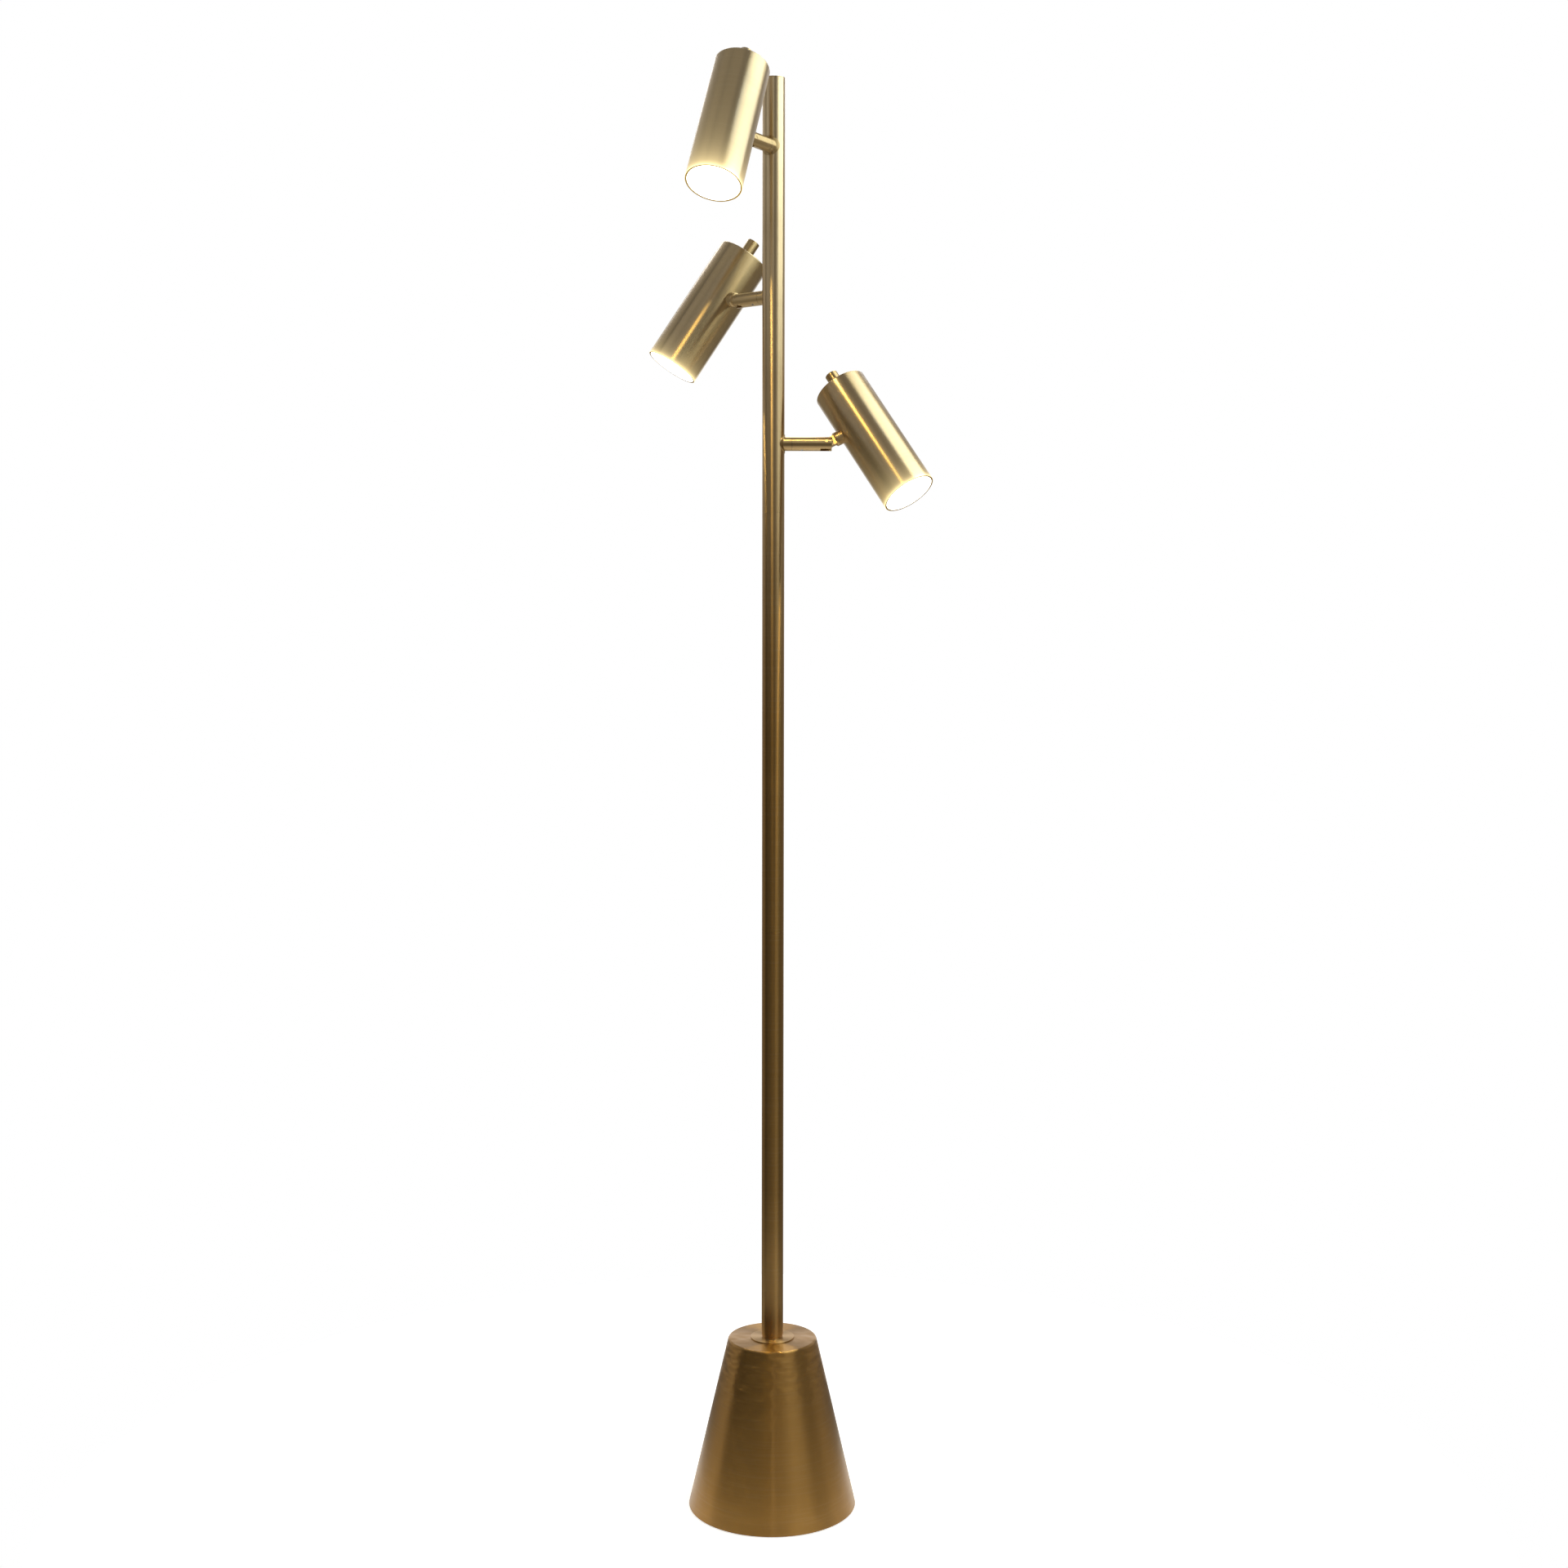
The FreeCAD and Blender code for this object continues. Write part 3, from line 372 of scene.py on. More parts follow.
def brushed_brass(name, place, colour, shaded_colour=None, glow=None, spun_to=None,
                  roughness=BRUSH_ROUGHNESS, table_light=0.0, lacquer=THIN_LACQUER):
    """Brass brushed round one axis. Painted shade and light can drift along the axis; a lit mouth can
    glow.

    spun_to is the height of a spun cone's top, and the lacquer is a pair: how much of it there is,
    and how strongly it refracts.
    """
    material, tree = new_material(name, colour[:3])
    local, parts, stretch = axis_coordinates(tree, place)
    fine = lathe_lines(tree, local, FINE_LINES)
    wide = lathe_lines(tree, local, WIDE_LINES)

    tone = colour
    # Painted shade: the colour darkens and warms lower down the stand.
    if shaded_colour:
        height = map_range(tree, parts.outputs["Z"], SHADE_BELOW, LIGHT_ABOVE)
        tone = mix_colour(tree, height, shaded_colour, colour)
        # Painted light: lighter again at the pole's foot.
        foot_light = map_range(tree, parts.outputs["Z"], FOOT_BELOW, FOOT_ABOVE)
        tone = mix_colour(tree, foot_light, tone, FOOT_LIGHT_BRONZE)
    tone = worn(tree, local, wide, tone)

    bump = add_node(tree, "ShaderNodeBump",
                    {"Height": fine, "Strength": LINE_STRENGTH, "Distance": LINE_DEPTH})
    if spun_to is not None:
        add_ripples(tree, bump, local, parts, spun_to)
    brass = add_node(tree, "ShaderNodeBsdfPrincipled", {
        "Base Color": tone, "Metallic": 1.0, "Roughness": handled(tree, local, fine, roughness),
        "Anisotropic": BRUSH_STRETCH, "Tangent": stretch, "Normal": bump.outputs[0],
        "Coat Weight": lacquer[0], "Coat IOR": lacquer[1], "Coat Roughness": LACQUER_ROUGHNESS})
    if glow:
        add_glow(tree, brass, parts, *glow)
    if table_light:
        add_table_light(tree, brass, tone, table_light)
    finish_material(tree, brass.outputs[0])
    return material


# %% [markdown]
# The cone is spun: a disc of sheet metal is pushed over a turning former with a roller. The roller
# starts at the top and leaves faint ripples there, about 8 mm apart and never quite even round the
# cone, so the reflections waver. They are a tenth or two of a millimetre deep, too shallow to show in
# the outline, and belong to the finish: a bump whose noise is stretched round the cone and fades away
# downwards. The noise uses about a tenth of the bump's full depth.

# %% The roller's ripples
RIPPLE_PITCH = 7.6 * MM
RIPPLE_LENGTH = 18 * MM
RIPPLE_DEPTH = 1.5 * MM
RIPPLES_FULL = 10 * MM
RIPPLES_REACH = 110 * MM
RIPPLES_LEFT = 0.12


def add_ripples(tree, bump, local, parts, top):
    """Feeds the bump with ripples that fade away below the top of the cone."""
    squeezed = add_node(tree, "ShaderNodeMapping", {
        "Vector": local, "Scale": (1 / RIPPLE_LENGTH, 1 / RIPPLE_LENGTH, 1 / RIPPLE_PITCH)})
    waves = noise(tree, squeezed.outputs[0], 1.0, 1.0, 0.4)
    fade = map_range(tree, parts.outputs["Z"], top - RIPPLES_REACH, top - RIPPLES_FULL, RIPPLES_LEFT)
    tree.links.new(math_node(tree, "MULTIPLY", waves, fade), bump.inputs["Height"])
    bump.inputs["Strength"].default_value = 1.0
    bump.inputs["Distance"].default_value = RIPPLE_DEPTH


# %% [markdown]
# The shades are lit so brightly that their light spills over the rim: the brass glows there, and the
# glow dies away over a few centimetres. A camera does this in its lens, which a material may not
# imitate, so the glow is put on the metal itself. It falls off as light does in a haze, by the same
# share for every millimetre: a bright part near the mouth, a faint one that reaches far up the shade,
# and a narrow one right at the edge. The rim's own face has a plain satin brass that doesn't glow, so
# it stays a thin gold line round the light.
#
# The arms hang over a white table, far below, that brightens their shaded lower halves. A real light
# for it would also brighten the pole, so that light is put on the arms' metal too, and only where the
# surface looks down.

# %% The glowing mouth
GLOW_COLOUR = (1.0, 0.79, 0.39, 1)
SPILL_REACH = 60 * MM
EDGE_REACH = 2.0 * MM
EDGE_GLOW = 1.3
INSIDE_SHARE = 0.03
WALL_FROM, WALL_FULL = SHADE_R - 0.3 * MM, SHADE_R - 0.05 * MM


def fading(tree, distance, reach):
    """1 at the mouth, and less by the same share for every millimetre."""
    return math_node(tree, "EXPONENT", math_node(tree, "MULTIPLY", distance, -1 / reach))


def add_glow(tree, shader, parts, strength, reach, spill):
    """Warm light on the outside of a shade: a bright part near the mouth and a faint wide one."""
    across = add_node(tree, "ShaderNodeCombineXYZ", {"X": parts.outputs["X"], "Y": parts.outputs["Y"]})
    radius = add_node(tree, "ShaderNodeVectorMath", {0: across.outputs[0]}, operation="LENGTH")
    outside = map_range(tree, radius.outputs["Value"], WALL_FROM, WALL_FULL, INSIDE_SHARE)
    distance = math_node(tree, "SUBTRACT", parts.outputs["Z"], SHADE_MOUTH)
    light = math_node(tree, "MULTIPLY", fading(tree, distance, SPILL_REACH), spill)
    light = math_node(tree, "MULTIPLY_ADD", fading(tree, distance, reach), strength, light)
    light = math_node(tree, "MULTIPLY_ADD", fading(tree, distance, EDGE_REACH), EDGE_GLOW, light)
    shader.inputs["Emission Color"].default_value = GLOW_COLOUR
    tree.links.new(math_node(tree, "MULTIPLY", light, outside), shader.inputs["Emission Strength"])


# %% The arms' shaded halves
LIT_FROM, LIT_FULL = 0.02, -0.16
DARK_FROM, DARK_FULL = -0.42, -0.80


def add_table_light(tree, shader, tone, strength):
    """Light from the white table on the shaded half of an arm, by how far the surface looks down.

    The limits are heights of the surface normal: 0 looks sideways and -1 straight down.
    """
    normal = add_node(tree, "ShaderNodeNewGeometry").outputs["Normal"]
    upward = add_node(tree, "ShaderNodeSeparateXYZ", {"Vector": normal}).outputs["Z"]
    shaded = math_node(tree, "MULTIPLY", map_range(tree, upward, LIT_FROM, LIT_FULL),
                       map_range(tree, upward, DARK_FULL, DARK_FROM))
    tree.links.new(tone, shader.inputs["Emission Color"])
    tree.links.new(math_node(tree, "MULTIPLY", shaded, strength), shader.inputs["Emission Strength"])


# %% The rim's satin brass
RIM_DARK, RIM_LIGHT = (0.42, 0.26, 0.05, 1), (0.56, 0.38, 0.10, 1)


def rim_brass(name):
    """Plain satin brass for the narrow ring at a mouth, which lathe lines are too coarse for."""
    material, tree = new_material(name, (0.5, 0.33, 0.08))
    coordinates = object_coordinates(tree)
    tone = mix_colour(tree, noise(tree, coordinates, 600.0), RIM_DARK, RIM_LIGHT)
    rough = math_node(tree, "MULTIPLY_ADD", noise(tree, coordinates, 1500.0), 0.2, 0.3)
    brass = add_node(tree, "ShaderNodeBsdfPrincipled",
                     {"Base Color": tone, "Metallic": 1.0, "Roughness": rough})
    finish_material(tree, brass.outputs[0])
    return material


def only_shines(material):
    """The renderer doesn't search this surface for lamplight, which keeps the picture clean."""
    material.cycles.emission_sampling = "NONE"


# %% [markdown]
# Each arm and each head gets its own copy of the brass, because the rings of its brushing run about
# its own axis. The cone is smoother than the tubes. A glow is three numbers: the strength of its near
# part, that part's reach, and the strength of the faint far part.

# %% Brass for the stand, the arms and the heads
STAND_PLACE = Matrix.Identity(4)
# The bottom head's GOLD is painted warm light.
HEAD_COLOUR = {"top": CHAMPAGNE, "middle": CHAMPAGNE, "bottom": GOLD}
HEAD_GLOW = {"top": (0.75, 15 * MM, 0.15), "middle": (0.45, 10 * MM, 0.01),
             "bottom": (0.5, 14 * MM, 0.03)}
TABLE_LIGHT = {"top": 0.26, "middle": 0.22, "bottom": 0.14}
# The stand's brass darkens to painted shade lower down.
brass_stand = brushed_brass("brass_stand", STAND_PLACE, PALE_GOLD, LOW_SHADE_BRONZE)
# The cone's bronze is painted shade and warm light.
brass_cone = brushed_brass("brass_cone", STAND_PLACE, BRONZE, spun_to=cone_high.z,
                           roughness=SPUN_ROUGHNESS)
brass_rim = rim_brass("rim_brass")
brass_arm = {}
brass_head = {}
brass_shade = {}
for head in HEADS:
    brass_arm[head] = brushed_brass(head + "_arm_brass", ARM_PLACE[head], HEAD_COLOUR[head],
                                    table_light=TABLE_LIGHT[head])
    brass_head[head] = brushed_brass(head + "_head_brass", HEAD_PLACE[head], HEAD_COLOUR[head])
    brass_shade[head] = brushed_brass(head + "_shade_brass", HEAD_PLACE[head], HEAD_COLOUR[head],
                                      glow=HEAD_GLOW[head], lacquer=THICK_LACQUER)
    only_shines(brass_shade[head])
    only_shines(brass_arm[head])
print("brass materials", 3 + 3 * len(HEADS))

# %% [markdown]
# ## The plainer finishes
# Iron, zinc, felt, rubber and mouldings are seen only from below or from very near. They are one
# recipe with different numbers: a colour that wanders a little between two tones, a roughness that
# wanders with it, and a grain in the bump at the size that the real stuff has.

# %% One recipe for the plainer finishes
GRAINS_PER_CLOUD = 14


def grained(name, dark, light, roughness, grain_scale, grain_depth, metallic=0.0, **extra):
    """A finish with a two-tone grain; grain_scale is grains per metre, grain_depth is in metres."""
    material, tree = new_material(name, light[:3])
    coordinates = object_coordinates(tree)
    grain = noise(tree, coordinates, grain_scale, 4.0, 0.6)
    cloud = noise(tree, coordinates, grain_scale / GRAINS_PER_CLOUD, 2.0)
    blend = math_node(tree, "MULTIPLY_ADD", grain, 0.6, math_node(tree, "MULTIPLY", cloud, 0.4))
    colour = mix_colour(tree, map_range(tree, blend, 0.35, 0.65), dark, light)
    rough = math_node(tree, "MULTIPLY_ADD", grain, 0.2, roughness - 0.1)
    bump = add_node(tree, "ShaderNodeBump",
                    {"Height": grain, "Strength": 0.6, "Distance": grain_depth})
    shader = add_node(tree, "ShaderNodeBsdfPrincipled", {
        "Base Color": colour, "Roughness": rough, "Metallic": metallic,
        "Normal": bump.outputs[0], **extra})
    finish_material(tree, shader.outputs[0])
    return material


# %% Iron, zinc, felt, rubber and mouldings
cast_iron = grained("cast_iron", (0.05, 0.05, 0.055, 1), (0.11, 0.105, 0.10, 1), 0.62, 900.0, 0.0003)
zinc_steel = grained("zinc_steel", (0.46, 0.47, 0.49, 1), (0.62, 0.61, 0.58, 1),
                     0.34, 1400.0, 0.00003, 1.0)
felt = grained("felt", (0.016, 0.016, 0.017, 1), (0.05, 0.05, 0.052, 1), 0.95, 2600.0, 0.0004,
               **{"Sheen Weight": 0.5, "Sheen Roughness": 0.4})
rubber = grained("black_rubber", (0.018, 0.018, 0.018, 1), (0.035, 0.035, 0.034, 1),
                 0.55, 1800.0, 0.00005)
nylon = grained("dark_nylon", (0.03, 0.026, 0.02, 1), (0.06, 0.052, 0.042, 1), 0.42, 1500.0, 0.00003)
lead_sleeve = grained("lead_sleeve", (0.66, 0.64, 0.58, 1), (0.76, 0.74, 0.69, 1),
                      0.48, 1200.0, 0.00003)
phenolic = grained("ivory_phenolic", (0.70, 0.67, 0.60, 1), (0.80, 0.78, 0.72, 1),
                   0.38, 700.0, 0.00002)
switch_black = grained("switch_black", (0.02, 0.02, 0.021, 1), (0.045, 0.045, 0.046, 1),
                       0.4, 1300.0, 0.00003)
cap_aluminium = grained("cap_aluminium", (0.70, 0.70, 0.69, 1), (0.83, 0.83, 0.81, 1),
                        0.28, 1600.0, 0.00002, 1.0)
print("materials so far", len(bpy.data.materials))

# %% [markdown]
# ## The lit lamps
# An opal bulb scatters its light in a thin white layer, so it looks evenly bright, and the white
# enamel round it throws the light out through the mouth. Two jobs hide in that. What the eye sees in
# the mouth is plain white, so bulb and enamel shine by themselves, a little over white. What falls on
# the pole and the other shades is far stronger, and draws long fine streaks in the brushed brass.
# Making the enamel that strong would work, but every ray would search all its faces for light that
# its own wall hides, and the picture would be grainy. So the second job goes to a round area light
# that lies across each mouth, rides on its head and points wherever the head points. It sits a hair
# in front of the rim: a little deeper, and it would burn the rim's inner wall to a dazzling ring.

# %% Opal glass and enamel, switched on
LIT_WHITE = (1.0, 0.985, 0.93, 1)
LIT_CREAM = (1.0, 0.97, 0.90, 1)
LIT_STRENGTH = 1.5


def lit(name, base, roughness):
    """A white surface that shines a little over white, slightly cloudy, as opal glass does."""
    material, tree = new_material(name, base[:3])
    cloud = noise(tree, object_coordinates(tree), 60.0, 2.0)
    colour = mix_colour(tree, cloud, LIT_CREAM, LIT_WHITE)
    shader = add_node(tree, "ShaderNodeBsdfPrincipled", {
        "Base Color": base, "Roughness": roughness, "Emission Color": colour,
        "Emission Strength": LIT_STRENGTH})
    finish_material(tree, shader.outputs[0])
    only_shines(material)
    return material


opal_lit = lit("opal_lit", (0.9, 0.88, 0.84, 1), 0.3)
enamel_lit = lit("enamel_lit", (0.86, 0.85, 0.81, 1), 0.35)

# %% [markdown]
# A flat light shines over half of all directions, so its energy in watts is pi times its area times
# the brightness that a camera would see in it. All lights here are set by that brightness.

# %% Lamplight from the mouths
MOUTH_LIGHT = 140.0
MOUTH_COLOUR = (1.0, 0.78, 0.31)
MOUTH_LIGHT_R = SHADE_R - 2.5 * MM
MOUTH_LIGHT_AHEAD = 0.1 * MM
for head in HEADS:
    lamp = bpy.data.lights.new(head + "_mouth_light", "AREA")
    lamp.shape = "DISK"
    lamp.size = 2 * MOUTH_LIGHT_R
    lamp.color = MOUTH_COLOUR
    lamp.energy = math.pi * (math.pi * MOUTH_LIGHT_R ** 2) * MOUTH_LIGHT
    mouth_light = bpy.data.objects.new(head + "_mouth_light", lamp)
    bpy.context.scene.collection.objects.link(mouth_light)
    in_mouth = Matrix.Translation((0, 0, SHADE_MOUTH - MOUTH_LIGHT_AHEAD))
    mouth_light.matrix_world = HEAD_PLACE[head] @ in_mouth
    mouth_light.visible_camera = False
    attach(mouth_light, head + "_head")
print("mouth lights", len(HEADS), "of", round(lamp.energy, 2), "W")

# %% [markdown]
# ## The base: a cone spun from sheet
# The cone is one sheet: a straight side, a small rounded shoulder that catches a bright line, and a
# flat top with a hole for the pole. Its outline is drawn from the foot up the outside, over the
# shoulder, and back down the inside at the thickness of the sheet.

# %% Spin the cone
CONE_FOOT_R = cone_high.x
CONE_FOOT = cone_low.z
CONE_TOP = cone_high.z
CONE_TOP_R = 51.7 * MM
CONE_HOLE_R = 12 * MM
SHEET = 1.2 * MM
SHOULDER = 3 * MM
slope = math.atan2(CONE_FOOT_R - CONE_TOP_R, CONE_TOP - CONE_FOOT)
shoulder_r = CONE_TOP_R - SHOULDER * math.tan((math.pi / 2 - slope) / 2)
outline = [(CONE_FOOT_R, CONE_FOOT)]
outline += corner(shoulder_r, CONE_TOP - SHOULDER, SHOULDER, math.degrees(slope), 90, 10)
outline += [(CONE_HOLE_R, CONE_TOP), (CONE_HOLE_R, CONE_TOP - SHEET),
            (CONE_TOP_R - 2 * SHEET, CONE_TOP - SHEET), (CONE_FOOT_R - SHEET, CONE_FOOT), outline[0]]
cone_shell = turned("cone_shell", outline, 192)
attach(cone_shell, "stand")
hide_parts("base_cone")
coat_with(brass_cone, "cone_shell")
print("cone outline points", len(outline), "faces", len(cone_shell.data.polygons))

# %% [markdown]
# ## Disc, tubes and cap
# These are true lathe work: a thin disc that hides the cone's hole, three lengths of tube whose ends
# are broken with a small chamfer, and a cap with a rounded rim. The chamfers matter. Two of them
# facing each other make the hairline that shows where the tubes meet.

# %% Turn the disc, the tubes and the cap
DISC_EDGE = 0.35 * MM
DISC_HOLE_R = 11 * MM
TUBE_WALL = 1.2 * MM
TUBE_CHAMFER = 0.25 * MM
CAP_EDGE = 0.6 * MM
CAP_DOME = 0.15 * MM
CAP_PLAY = 0.1 * MM
HALFWAY_DROP = 0.3  # share of a dome's height that is lost halfway out


def turned_disc():
    """The thin round disc on the cone's top."""
    low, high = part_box("base_disc")
    points = [(DISC_HOLE_R, low.z), (high.x, low.z)]
    points += corner(high.x - DISC_EDGE, high.z - DISC_EDGE, DISC_EDGE, 0, 90)
    return turned("disc", points + [(DISC_HOLE_R, high.z), points[0]], 160)


def turned_tube(node):
    """One length of the pole, as long as its solid."""
    low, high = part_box(node)
    radius, inner = high.x, high.x - TUBE_WALL
    points = [(radius, low.z + TUBE_CHAMFER), (radius, high.z - TUBE_CHAMFER),
              (radius - TUBE_CHAMFER, high.z), (inner, high.z), (inner, low.z),
              (radius - TUBE_CHAMFER, low.z)]
    return turned(node + "_turned", points + [points[0]])


def turned_cap():
    """The cap: its plug sits in the top tube, and its dome drops a little before the rounded rim."""
    low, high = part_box("pole_cap")
    rim_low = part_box("upper_tube")[1].z
    plug_r = high.x - TUBE_WALL - CAP_PLAY
    points = [(0, low.z), (plug_r, low.z), (plug_r, rim_low), (high.x, rim_low)]
    points += corner(high.x - CAP_EDGE, high.z - CAP_DOME - CAP_EDGE, CAP_EDGE, 0, 90)
    return turned("cap", points + [(high.x / 2, high.z - HALFWAY_DROP * CAP_DOME), (0, high.z)])


TURNED = {"base_disc": turned_disc(), "pole_cap": turned_cap()}
for node in ("lower_tube", "middle_tube", "upper_tube"):
    TURNED[node] = turned_tube(node)
for node, piece in TURNED.items():
    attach(piece, "stand")
    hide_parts(node)
    coat_with(brass_stand, piece.name)
print("turned for the stand", sorted(TURNED))

# %% [markdown]
# ## Shades, spun like deep cups
# Each shade is one sheet, drawn into a cup: a flat back with a tight radius, a thin straight wall and
# a rim folded inwards into a narrow hem, which stiffens it and shows as a gold ring round the light.
# Inside it is enamelled white, so the faces that look inwards get a second material, and the rim gets
# a third. The shade is modelled once, upright, and copied to the three heads. The first material waits
# for each head's own brass.

# %% Spin one shade and copy it to the heads
SHADE_WALL = 1.0 * MM
SHADE_BACK_EDGE = 1.6 * MM
SHADE_RIM = 0.2 * MM
HEM = 2.0 * MM
HEM_LENGTH = 2.5 * MM
HEM_SLOPE = 0.4 * MM
BUSHING_HOLE = 5.1 * MM
NEARLY = 0.01 * MM
OUTSIDE, INSIDE, RIM = 0, 1, 2
inner_r = SHADE_R - SHADE_WALL
inner_edge = SHADE_BACK_EDGE - SHADE_WALL
outline = [(BUSHING_HOLE, 0)]
outline += corner(SHADE_R - SHADE_BACK_EDGE, -SHADE_BACK_EDGE, SHADE_BACK_EDGE, 90, 0, 8)
outline += corner(SHADE_R - SHADE_RIM, SHADE_MOUTH + SHADE_RIM, SHADE_RIM, 0, -90, 4)
outline += corner(SHADE_R - HEM + SHADE_RIM, SHADE_MOUTH + SHADE_RIM, SHADE_RIM, -90, -180, 4)
outline += [(SHADE_R - HEM, SHADE_MOUTH + HEM_LENGTH),
            (inner_r, SHADE_MOUTH + HEM_LENGTH + HEM_SLOPE)]
outline += corner(inner_r - inner_edge, -SHADE_BACK_EDGE, inner_edge, 0, 90, 4)
outline += [(BUSHING_HOLE, -SHADE_WALL), outline[0]]
shade_model = turned("shade_model", outline, 160)
for material in (enamel_lit, enamel_lit, brass_rim):
    shade_model.data.materials.append(material)
for face in shade_model.data.polygons:
    across = math.hypot(face.center.x, face.center.y)
    past_rim = face.center.z > SHADE_MOUTH + SHADE_RIM
    under_back = face.center.z < -SHADE_WALL / 2
    faces_in = past_rim and under_back and across < inner_r + NEARLY
    on_rim = not past_rim and across < SHADE_R - SHADE_RIM
    face.material_index = INSIDE if faces_in else RIM if on_rim else OUTSIDE

for head in HEADS:
    spun = copy_to(shade_model, head + "_shade_spun", HEAD_PLACE[head])
    spun.data.materials[OUTSIDE] = brass_shade[head]
    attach(spun, head + "_head")
    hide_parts(head + "_shade")
bpy.data.objects.remove(shade_model)
print("shades", len(HEADS))

# %% [markdown]
# ## Knobs
# A knob is a stub of bar: a small chamfer at the foot, a rounded top edge that catches a bright line,
# and a blind bore for the switch's shaft.

# %% Turn the knobs
KNOB_CHAMFER = 0.3 * MM
KNOB_EDGE = 0.7 * MM
KNOB_DOME = 0.12 * MM
KNOB_BORE_R = 3 * MM
KNOB_BORE = 13 * MM
foot, top, radius = knob_low.z, knob_high.z, knob_high.y
outline = [(0, foot + KNOB_BORE), (KNOB_BORE_R, foot + KNOB_BORE), (KNOB_BORE_R, foot),
           (radius - KNOB_CHAMFER, foot), (radius, foot + KNOB_CHAMFER)]
outline += corner(radius - KNOB_EDGE, top - KNOB_DOME - KNOB_EDGE, KNOB_EDGE, 0, 90, 6)
outline += [(radius / 2, top - HALFWAY_DROP * KNOB_DOME), (0, top)]
knob_model = turned("knob_model", outline, 96)
for head in HEADS:
    knob = copy_to(knob_model, head + "_knob_turned", HEAD_PLACE[head])
    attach(knob, head + "_switch_knob")
    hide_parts(head + "_knob")
    coat_with(brass_head[head], knob.name)
bpy.data.objects.remove(knob_model)
print("knobs", len(HEADS), "of", round(2 * radius / MM, 1), "mm")

# %% [markdown]
# ## Bulbs
# The bulb is a sphere that runs through a waist into a straight neck. The waist is a smooth curve
# worked out from a cosine, so the outline needs no list of points.

# %% Blow the bulbs
BULB_NECK_R = 12.8 * MM
BULB_NECK = 10 * MM
WAIST_STEPS = 12
GLASS = 1.0 * MM


def bulb_outline(inset):
    """Half outline from tip to neck; inset moves it inwards for the inside of the glass."""
    radius = bulb_high.y - inset
    centre = bulb_low.z + bulb_high.y
    neck_r = BULB_NECK_R - inset
    neck_low = bulb_high.z - BULB_NECK
    points = corner(0, centre, radius, -90, 0, 18)
    for step in range(1, WAIST_STEPS + 1):
        share = step / WAIST_STEPS
        swing = (1 + math.cos(math.pi * share)) / 2
        points.append((neck_r + (radius - neck_r) * swing, centre + (neck_low - centre) * share))
    return points + [(neck_r, bulb_high.z)]


outside, inside = bulb_outline(0), bulb_outline(GLASS)
bulb_model = turned("bulb_model", outside + inside[::-1], 96)
for head in HEADS:
    blown = copy_to(bulb_model, head + "_bulb_blown", HEAD_PLACE[head])
    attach(blown, head + "_head")
    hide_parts(head + "_bulb")
    coat_with(opal_lit, blown.name)
bpy.data.objects.remove(bulb_model)
print("bulbs", len(HEADS), "of", round(2 * bulb_high.y / MM, 1), "mm")

# %% [markdown]
# ## What the solids already get right
# Arms, knuckles, pins, screws and everything inside keep their engineered shapes and get their
# finish. Modelling them again would risk their fit and show nothing new.

# %% Finish the remaining solids
coat_with(brass_stand, "foot_insert")
coat_with(cast_iron, "base_weight")
coat_with(zinc_steel, "base_plate", "plate_screws", "tie_rod", "rod_nut", "tube_inserts",
          "coupling_nipples")
coat_with(felt, "floor_pad")
coat_with(rubber, "cord_bush")
coat_with(lead_sleeve, "pole_leads")
coat_with(nylon, "swivel_washers")
for head in HEADS:
    coat_with(brass_arm[head], head + "_arm_boss", head + "_arm_sleeve", head + "_pivot_pin",
              head + "_knuckle")
    coat_with(zinc_steel, head + "_arm_screw", head + "_knuckle_nut", head + "_switch_nut",
              head + "_switch_shaft")
    coat_with(phenolic, head + "_lamp_holder")
    coat_with(cap_aluminium, head + "_bulb_base")
    coat_with(switch_black, head + "_switch")
print("solids without a finish", sum(not piece.data.materials for piece in frame["nodes"].values()))

# %% [markdown]
# ## The studio: the floor
# The lamp stands on a small pale floor in a white studio. The floor gets a little light of its own
# for the camera, so that it melts into the white but keeps a soft shadow. The metal mirrors it too:
# close to the foot it is bright for the metal, which lightens the cone's lower half and the foot of
# the pole, and farther off it is dark, so that the pole above stays dark as well.

# %% Lay the floor
FLOOR_R = 0.85
CAMERA_LIFT = 0.66
MIRRORED_LIFT = 0.45
BRIGHT_TO, BRIGHT_GONE = 0.18, 0.40
DARK_AFTER, ALL_DARK = 0.22, 0.45
PAINT_LOW, PAINT_HIGH = (0.84, 0.84, 0.83, 1), (0.86, 0.86, 0.85, 1)
SHADED_PAINT = (0.1, 0.1, 0.1, 1)
WHITE = (1, 1, 1, 1)
bpy.ops.object.select_all(action="DESELECT")
bpy.ops.mesh.primitive_circle_add(vertices=128, radius=FLOOR_R, fill_type="NGON")
floor = bpy.context.object
floor.name = "floor"
floor_material, tree = new_material("pale_floor", (0.9, 0.9, 0.9))
path = add_node(tree, "ShaderNodeLightPath").outputs
coordinates = object_coordinates(tree)
paint = mix_colour(tree, noise(tree, coordinates, 40.0), PAINT_LOW, PAINT_HIGH)
from_foot = add_node(tree, "ShaderNodeVectorMath", {0: coordinates}, operation="LENGTH")
from_foot = from_foot.outputs["Value"]
mirrored_lift = map_range(tree, from_foot, BRIGHT_TO, BRIGHT_GONE, MIRRORED_LIFT, 0.0)
mirrored_lift = math_node(tree, "MULTIPLY", path["Is Glossy Ray"], mirrored_lift)
far_off = map_range(tree, from_foot, DARK_AFTER, ALL_DARK)
shaded = math_node(tree, "MULTIPLY", path["Is Glossy Ray"], far_off)
paint = mix_colour(tree, shaded, paint, SHADED_PAINT)
surface = add_node(tree, "ShaderNodeBsdfDiffuse", {"Color": paint})
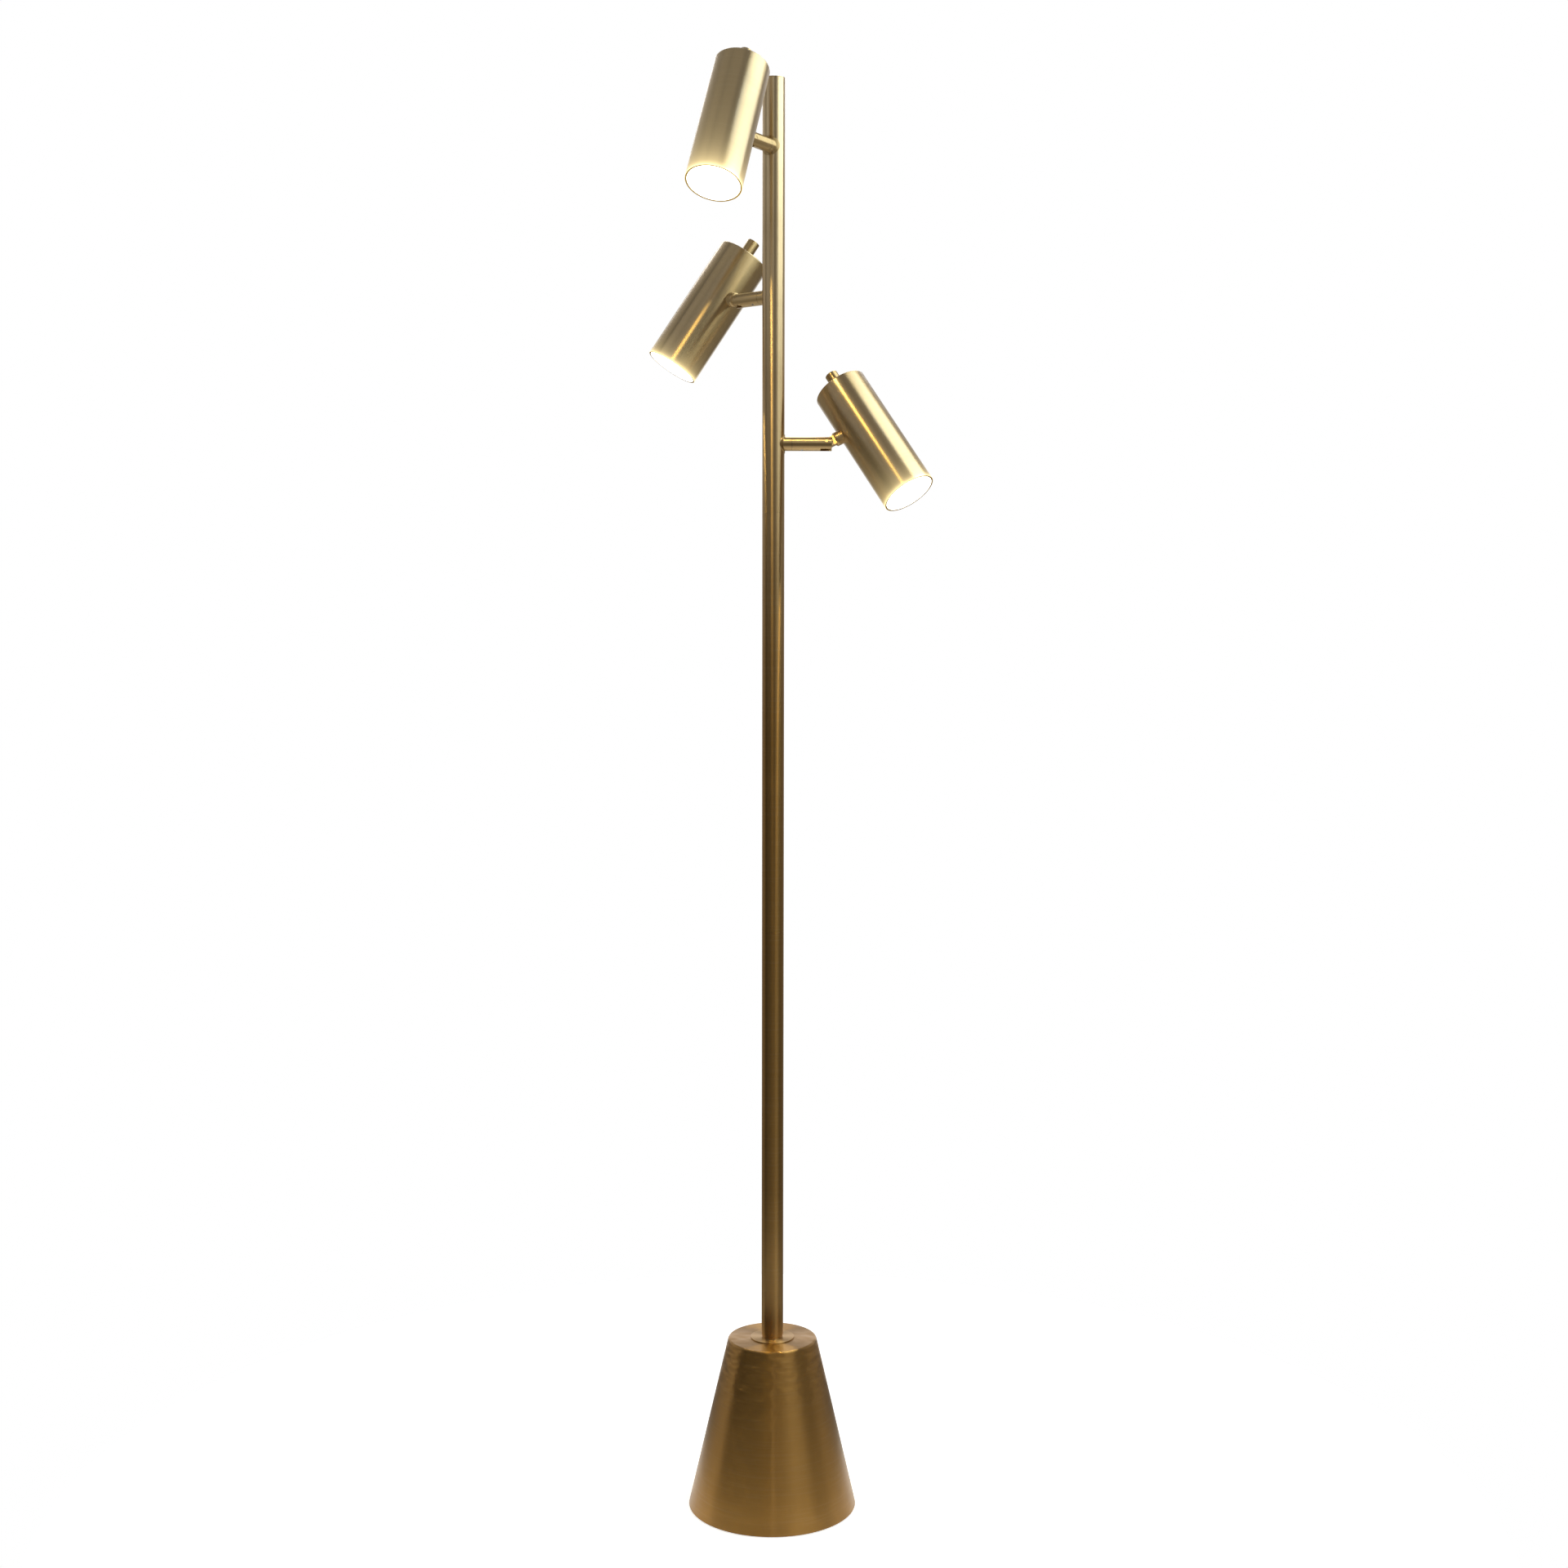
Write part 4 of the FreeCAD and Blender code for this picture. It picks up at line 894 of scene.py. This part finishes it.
strength = math_node(tree, "MULTIPLY_ADD", path["Is Camera Ray"], CAMERA_LIFT, mirrored_lift)
lift = add_node(tree, "ShaderNodeEmission", {"Color": WHITE, "Strength": strength})
both = add_node(tree, "ShaderNodeAddShader", {0: surface.outputs[0], 1: lift.outputs[0]})
finish_material(tree, both.outputs[0])
floor.data.materials.append(floor_material)
print("floor", 2 * FLOOR_R, "m across")

# %% [markdown]
# ## The studio: the room
# The world is white wherever the camera looks, and white again where the metal mirrors the backdrop
# behind the lamp. The rest of the room is made of soft grey panels, which the brushed metal draws as
# stripes along the tubes: where a panel stands decides where its stripe falls. Panels are pairs of a
# direction in degrees (0 is the front, 90 the right) and a brightness. The room is brighter above
# than below, one even grey overhead, and the little light that comes from below is warm.

# %% What the metal mirrors
PANELS = ((-180, 0.60), (-128, 0.58), (-98, 0.58), (-84, 0.06), (-20, 0.05), (-2, 0.05), (1, 0.55),
          (4, 0.19), (17, 0.22), (33, 0.46), (55, 0.45), (66, 0.20), (84, 0.24), (100, 0.45),
          (128, 0.50), (180, 0.60))
HEIGHTS = ((-1.0, 0.2), (-0.25, 0.25), (-0.10, 0.50), (0.03, 1.0), (1.0, 1.0))
CEILING = (0.32, 0.32, 0.32, 1)
CEILING_FROM, CEILING_FULL = 0.38, 0.72
WARM_BOUNCE = (1, 0.86, 0.62, 1)
WARM_FROM, WARM_GONE = -0.15, 0.15
BACKDROP_FROM, BACKDROP_FULL = 0.80, 0.97


def ramp(tree, value, low, high, stops):
    """A curve through (position, brightness) stops, as a colour ramp."""
    share = map_range(tree, value, low, high, kind="LINEAR")
    made = add_node(tree, "ShaderNodeValToRGB", {"Fac": share})
    elements = made.color_ramp.elements
    for number, (position, level) in enumerate(stops):
        if number > 1:
            elements.new(1.0)
        stop = elements[number]
        stop.position = (position - low) / (high - low)
        stop.color = (level, level, level, 1)
    return made.outputs[0]


# %% Fill the room
world = bpy.data.worlds.new("studio")
bpy.context.scene.world = world
world.use_nodes = True
tree = world.node_tree
tree.nodes.clear()
direction = add_node(tree, "ShaderNodeTexCoord").outputs["Generated"]
looking = add_node(tree, "ShaderNodeSeparateXYZ", {"Vector": direction}).outputs
turn = math_node(tree, "ARCTAN2", looking["X"], math_node(tree, "MULTIPLY", looking["Y"], -1.0))
turn = math_node(tree, "MULTIPLY", turn, 180 / math.pi)
level = math_node(tree, "MULTIPLY", ramp(tree, turn, -180, 180, PANELS),
                  ramp(tree, looking["Z"], -1.0, 1.0, HEIGHTS))
overhead = map_range(tree, looking["Z"], CEILING_FROM, CEILING_FULL)
level = mix_colour(tree, overhead, level, CEILING)
warmth = mix_colour(tree, map_range(tree, looking["Z"], WARM_FROM, WARM_GONE), WARM_BOUNCE, WHITE)
colour = add_node(tree, "ShaderNodeVectorMath", {0: level, 1: warmth}, operation="MULTIPLY").outputs[0]
room = add_node(tree, "ShaderNodeBackground", {"Color": colour, "Strength": 1.0})
backdrop = add_node(tree, "ShaderNodeBackground", {"Color": WHITE, "Strength": 1.0})
print("panels", len(PANELS), "heights", len(HEIGHTS))

# %% White for the camera, and behind the lamp
path = add_node(tree, "ShaderNodeLightPath").outputs
behind = map_range(tree, looking["Y"], BACKDROP_FROM, BACKDROP_FULL)
mirrored = math_node(tree, "ADD", path["Is Glossy Ray"], path["Is Transmission Ray"])
share = math_node(tree, "MULTIPLY_ADD", mirrored, behind, path["Is Camera Ray"])
share = math_node(tree, "MINIMUM", share, 1.0)
shown = add_node(tree, "ShaderNodeMixShader", {0: share, 1: room.outputs[0], 2: backdrop.outputs[0]})
output = add_node(tree, "ShaderNodeOutputWorld")
tree.links.new(shown.outputs[0], output.inputs["Surface"])
print("world nodes", len(tree.nodes))

# %% [markdown]
# ## The studio: the lights
# Soft boxes stand close to the lamp, and all of them hang high. That is why the heads and the upper
# pole are pale while the lower pole stays dark: low down, the metal has nothing bright to mirror. The
# large one on the right leans over the lamp and draws the broad pale stripe down the shades and the
# upper pole. Two dim ones fill the left and the front. Their light is kept from spreading, as by a
# honeycomb in front of a soft box, so that it stays at the heads' height. One behind and above lights
# the floor.

# %% Hang the soft boxes


def soft_box(name, at, aim, width, height, brightness, colour=(1, 1, 1), spread=180):
    """A rectangular area light at a point, turned to face another; spread is in degrees."""
    light = bpy.data.lights.new(name, "AREA")
    light.shape = "RECTANGLE"
    light.size, light.size_y = width, height
    light.color = colour
    light.energy = math.pi * width * height * brightness
    light.spread = math.radians(spread)
    box = bpy.data.objects.new(name, light)
    bpy.context.scene.collection.objects.link(box)
    facing = Vector(aim) - Vector(at)
    box.matrix_world = Matrix.Translation(at) @ facing.to_track_quat("-Z", "Y").to_matrix().to_4x4()
    box.visible_camera = False
    print(name, round(light.energy, 1), "W")


soft_box("key_box", (0.68, -0.09, 1.90), (0, 0.09, 1.41), 0.95, 0.80, 3.9, (0.88, 1.0, 1.0))
soft_box("left_box", (-0.97, -0.52, 2.02), (0, 0, 2.02), 0.85, 1.15, 0.26, spread=110)
soft_box("front_box", (-0.34, -1.05, 2.05), (0, 0, 2.05), 0.85, 1.10, 0.27, spread=110)
soft_box("back_box", (0, 1.6, 2.7), (0, 0, 2.7), 1.6, 1.4, 3.5)

# %% [markdown]
# Metal high up also mirrors the white table far below it. A large light lies on the floor for that,
# and its narrow spread keeps it to what is nearly above it: it reaches the arms and the undersides of
# the heads and misses the lower pole.

# %% Light from the table top
BOUNCE_SIDE = 4.0
BOUNCE_SPREAD = math.radians(125)
BOUNCE = 0.42
BOUNCE_AT = 12 * MM
bounce = bpy.data.lights.new("table_bounce", "AREA")
bounce.size = BOUNCE_SIDE
bounce.spread = BOUNCE_SPREAD
bounce.energy = math.pi * BOUNCE_SIDE ** 2 * BOUNCE
bounce_box = bpy.data.objects.new("table_bounce", bounce)
bpy.context.scene.collection.objects.link(bounce_box)
bounce_box.matrix_world = Matrix.Translation((0, 0, BOUNCE_AT)) @ Matrix.Rotation(math.pi, 4, "X")
bounce_box.visible_camera = False
print("table light", round(bounce.energy, 1), "W")
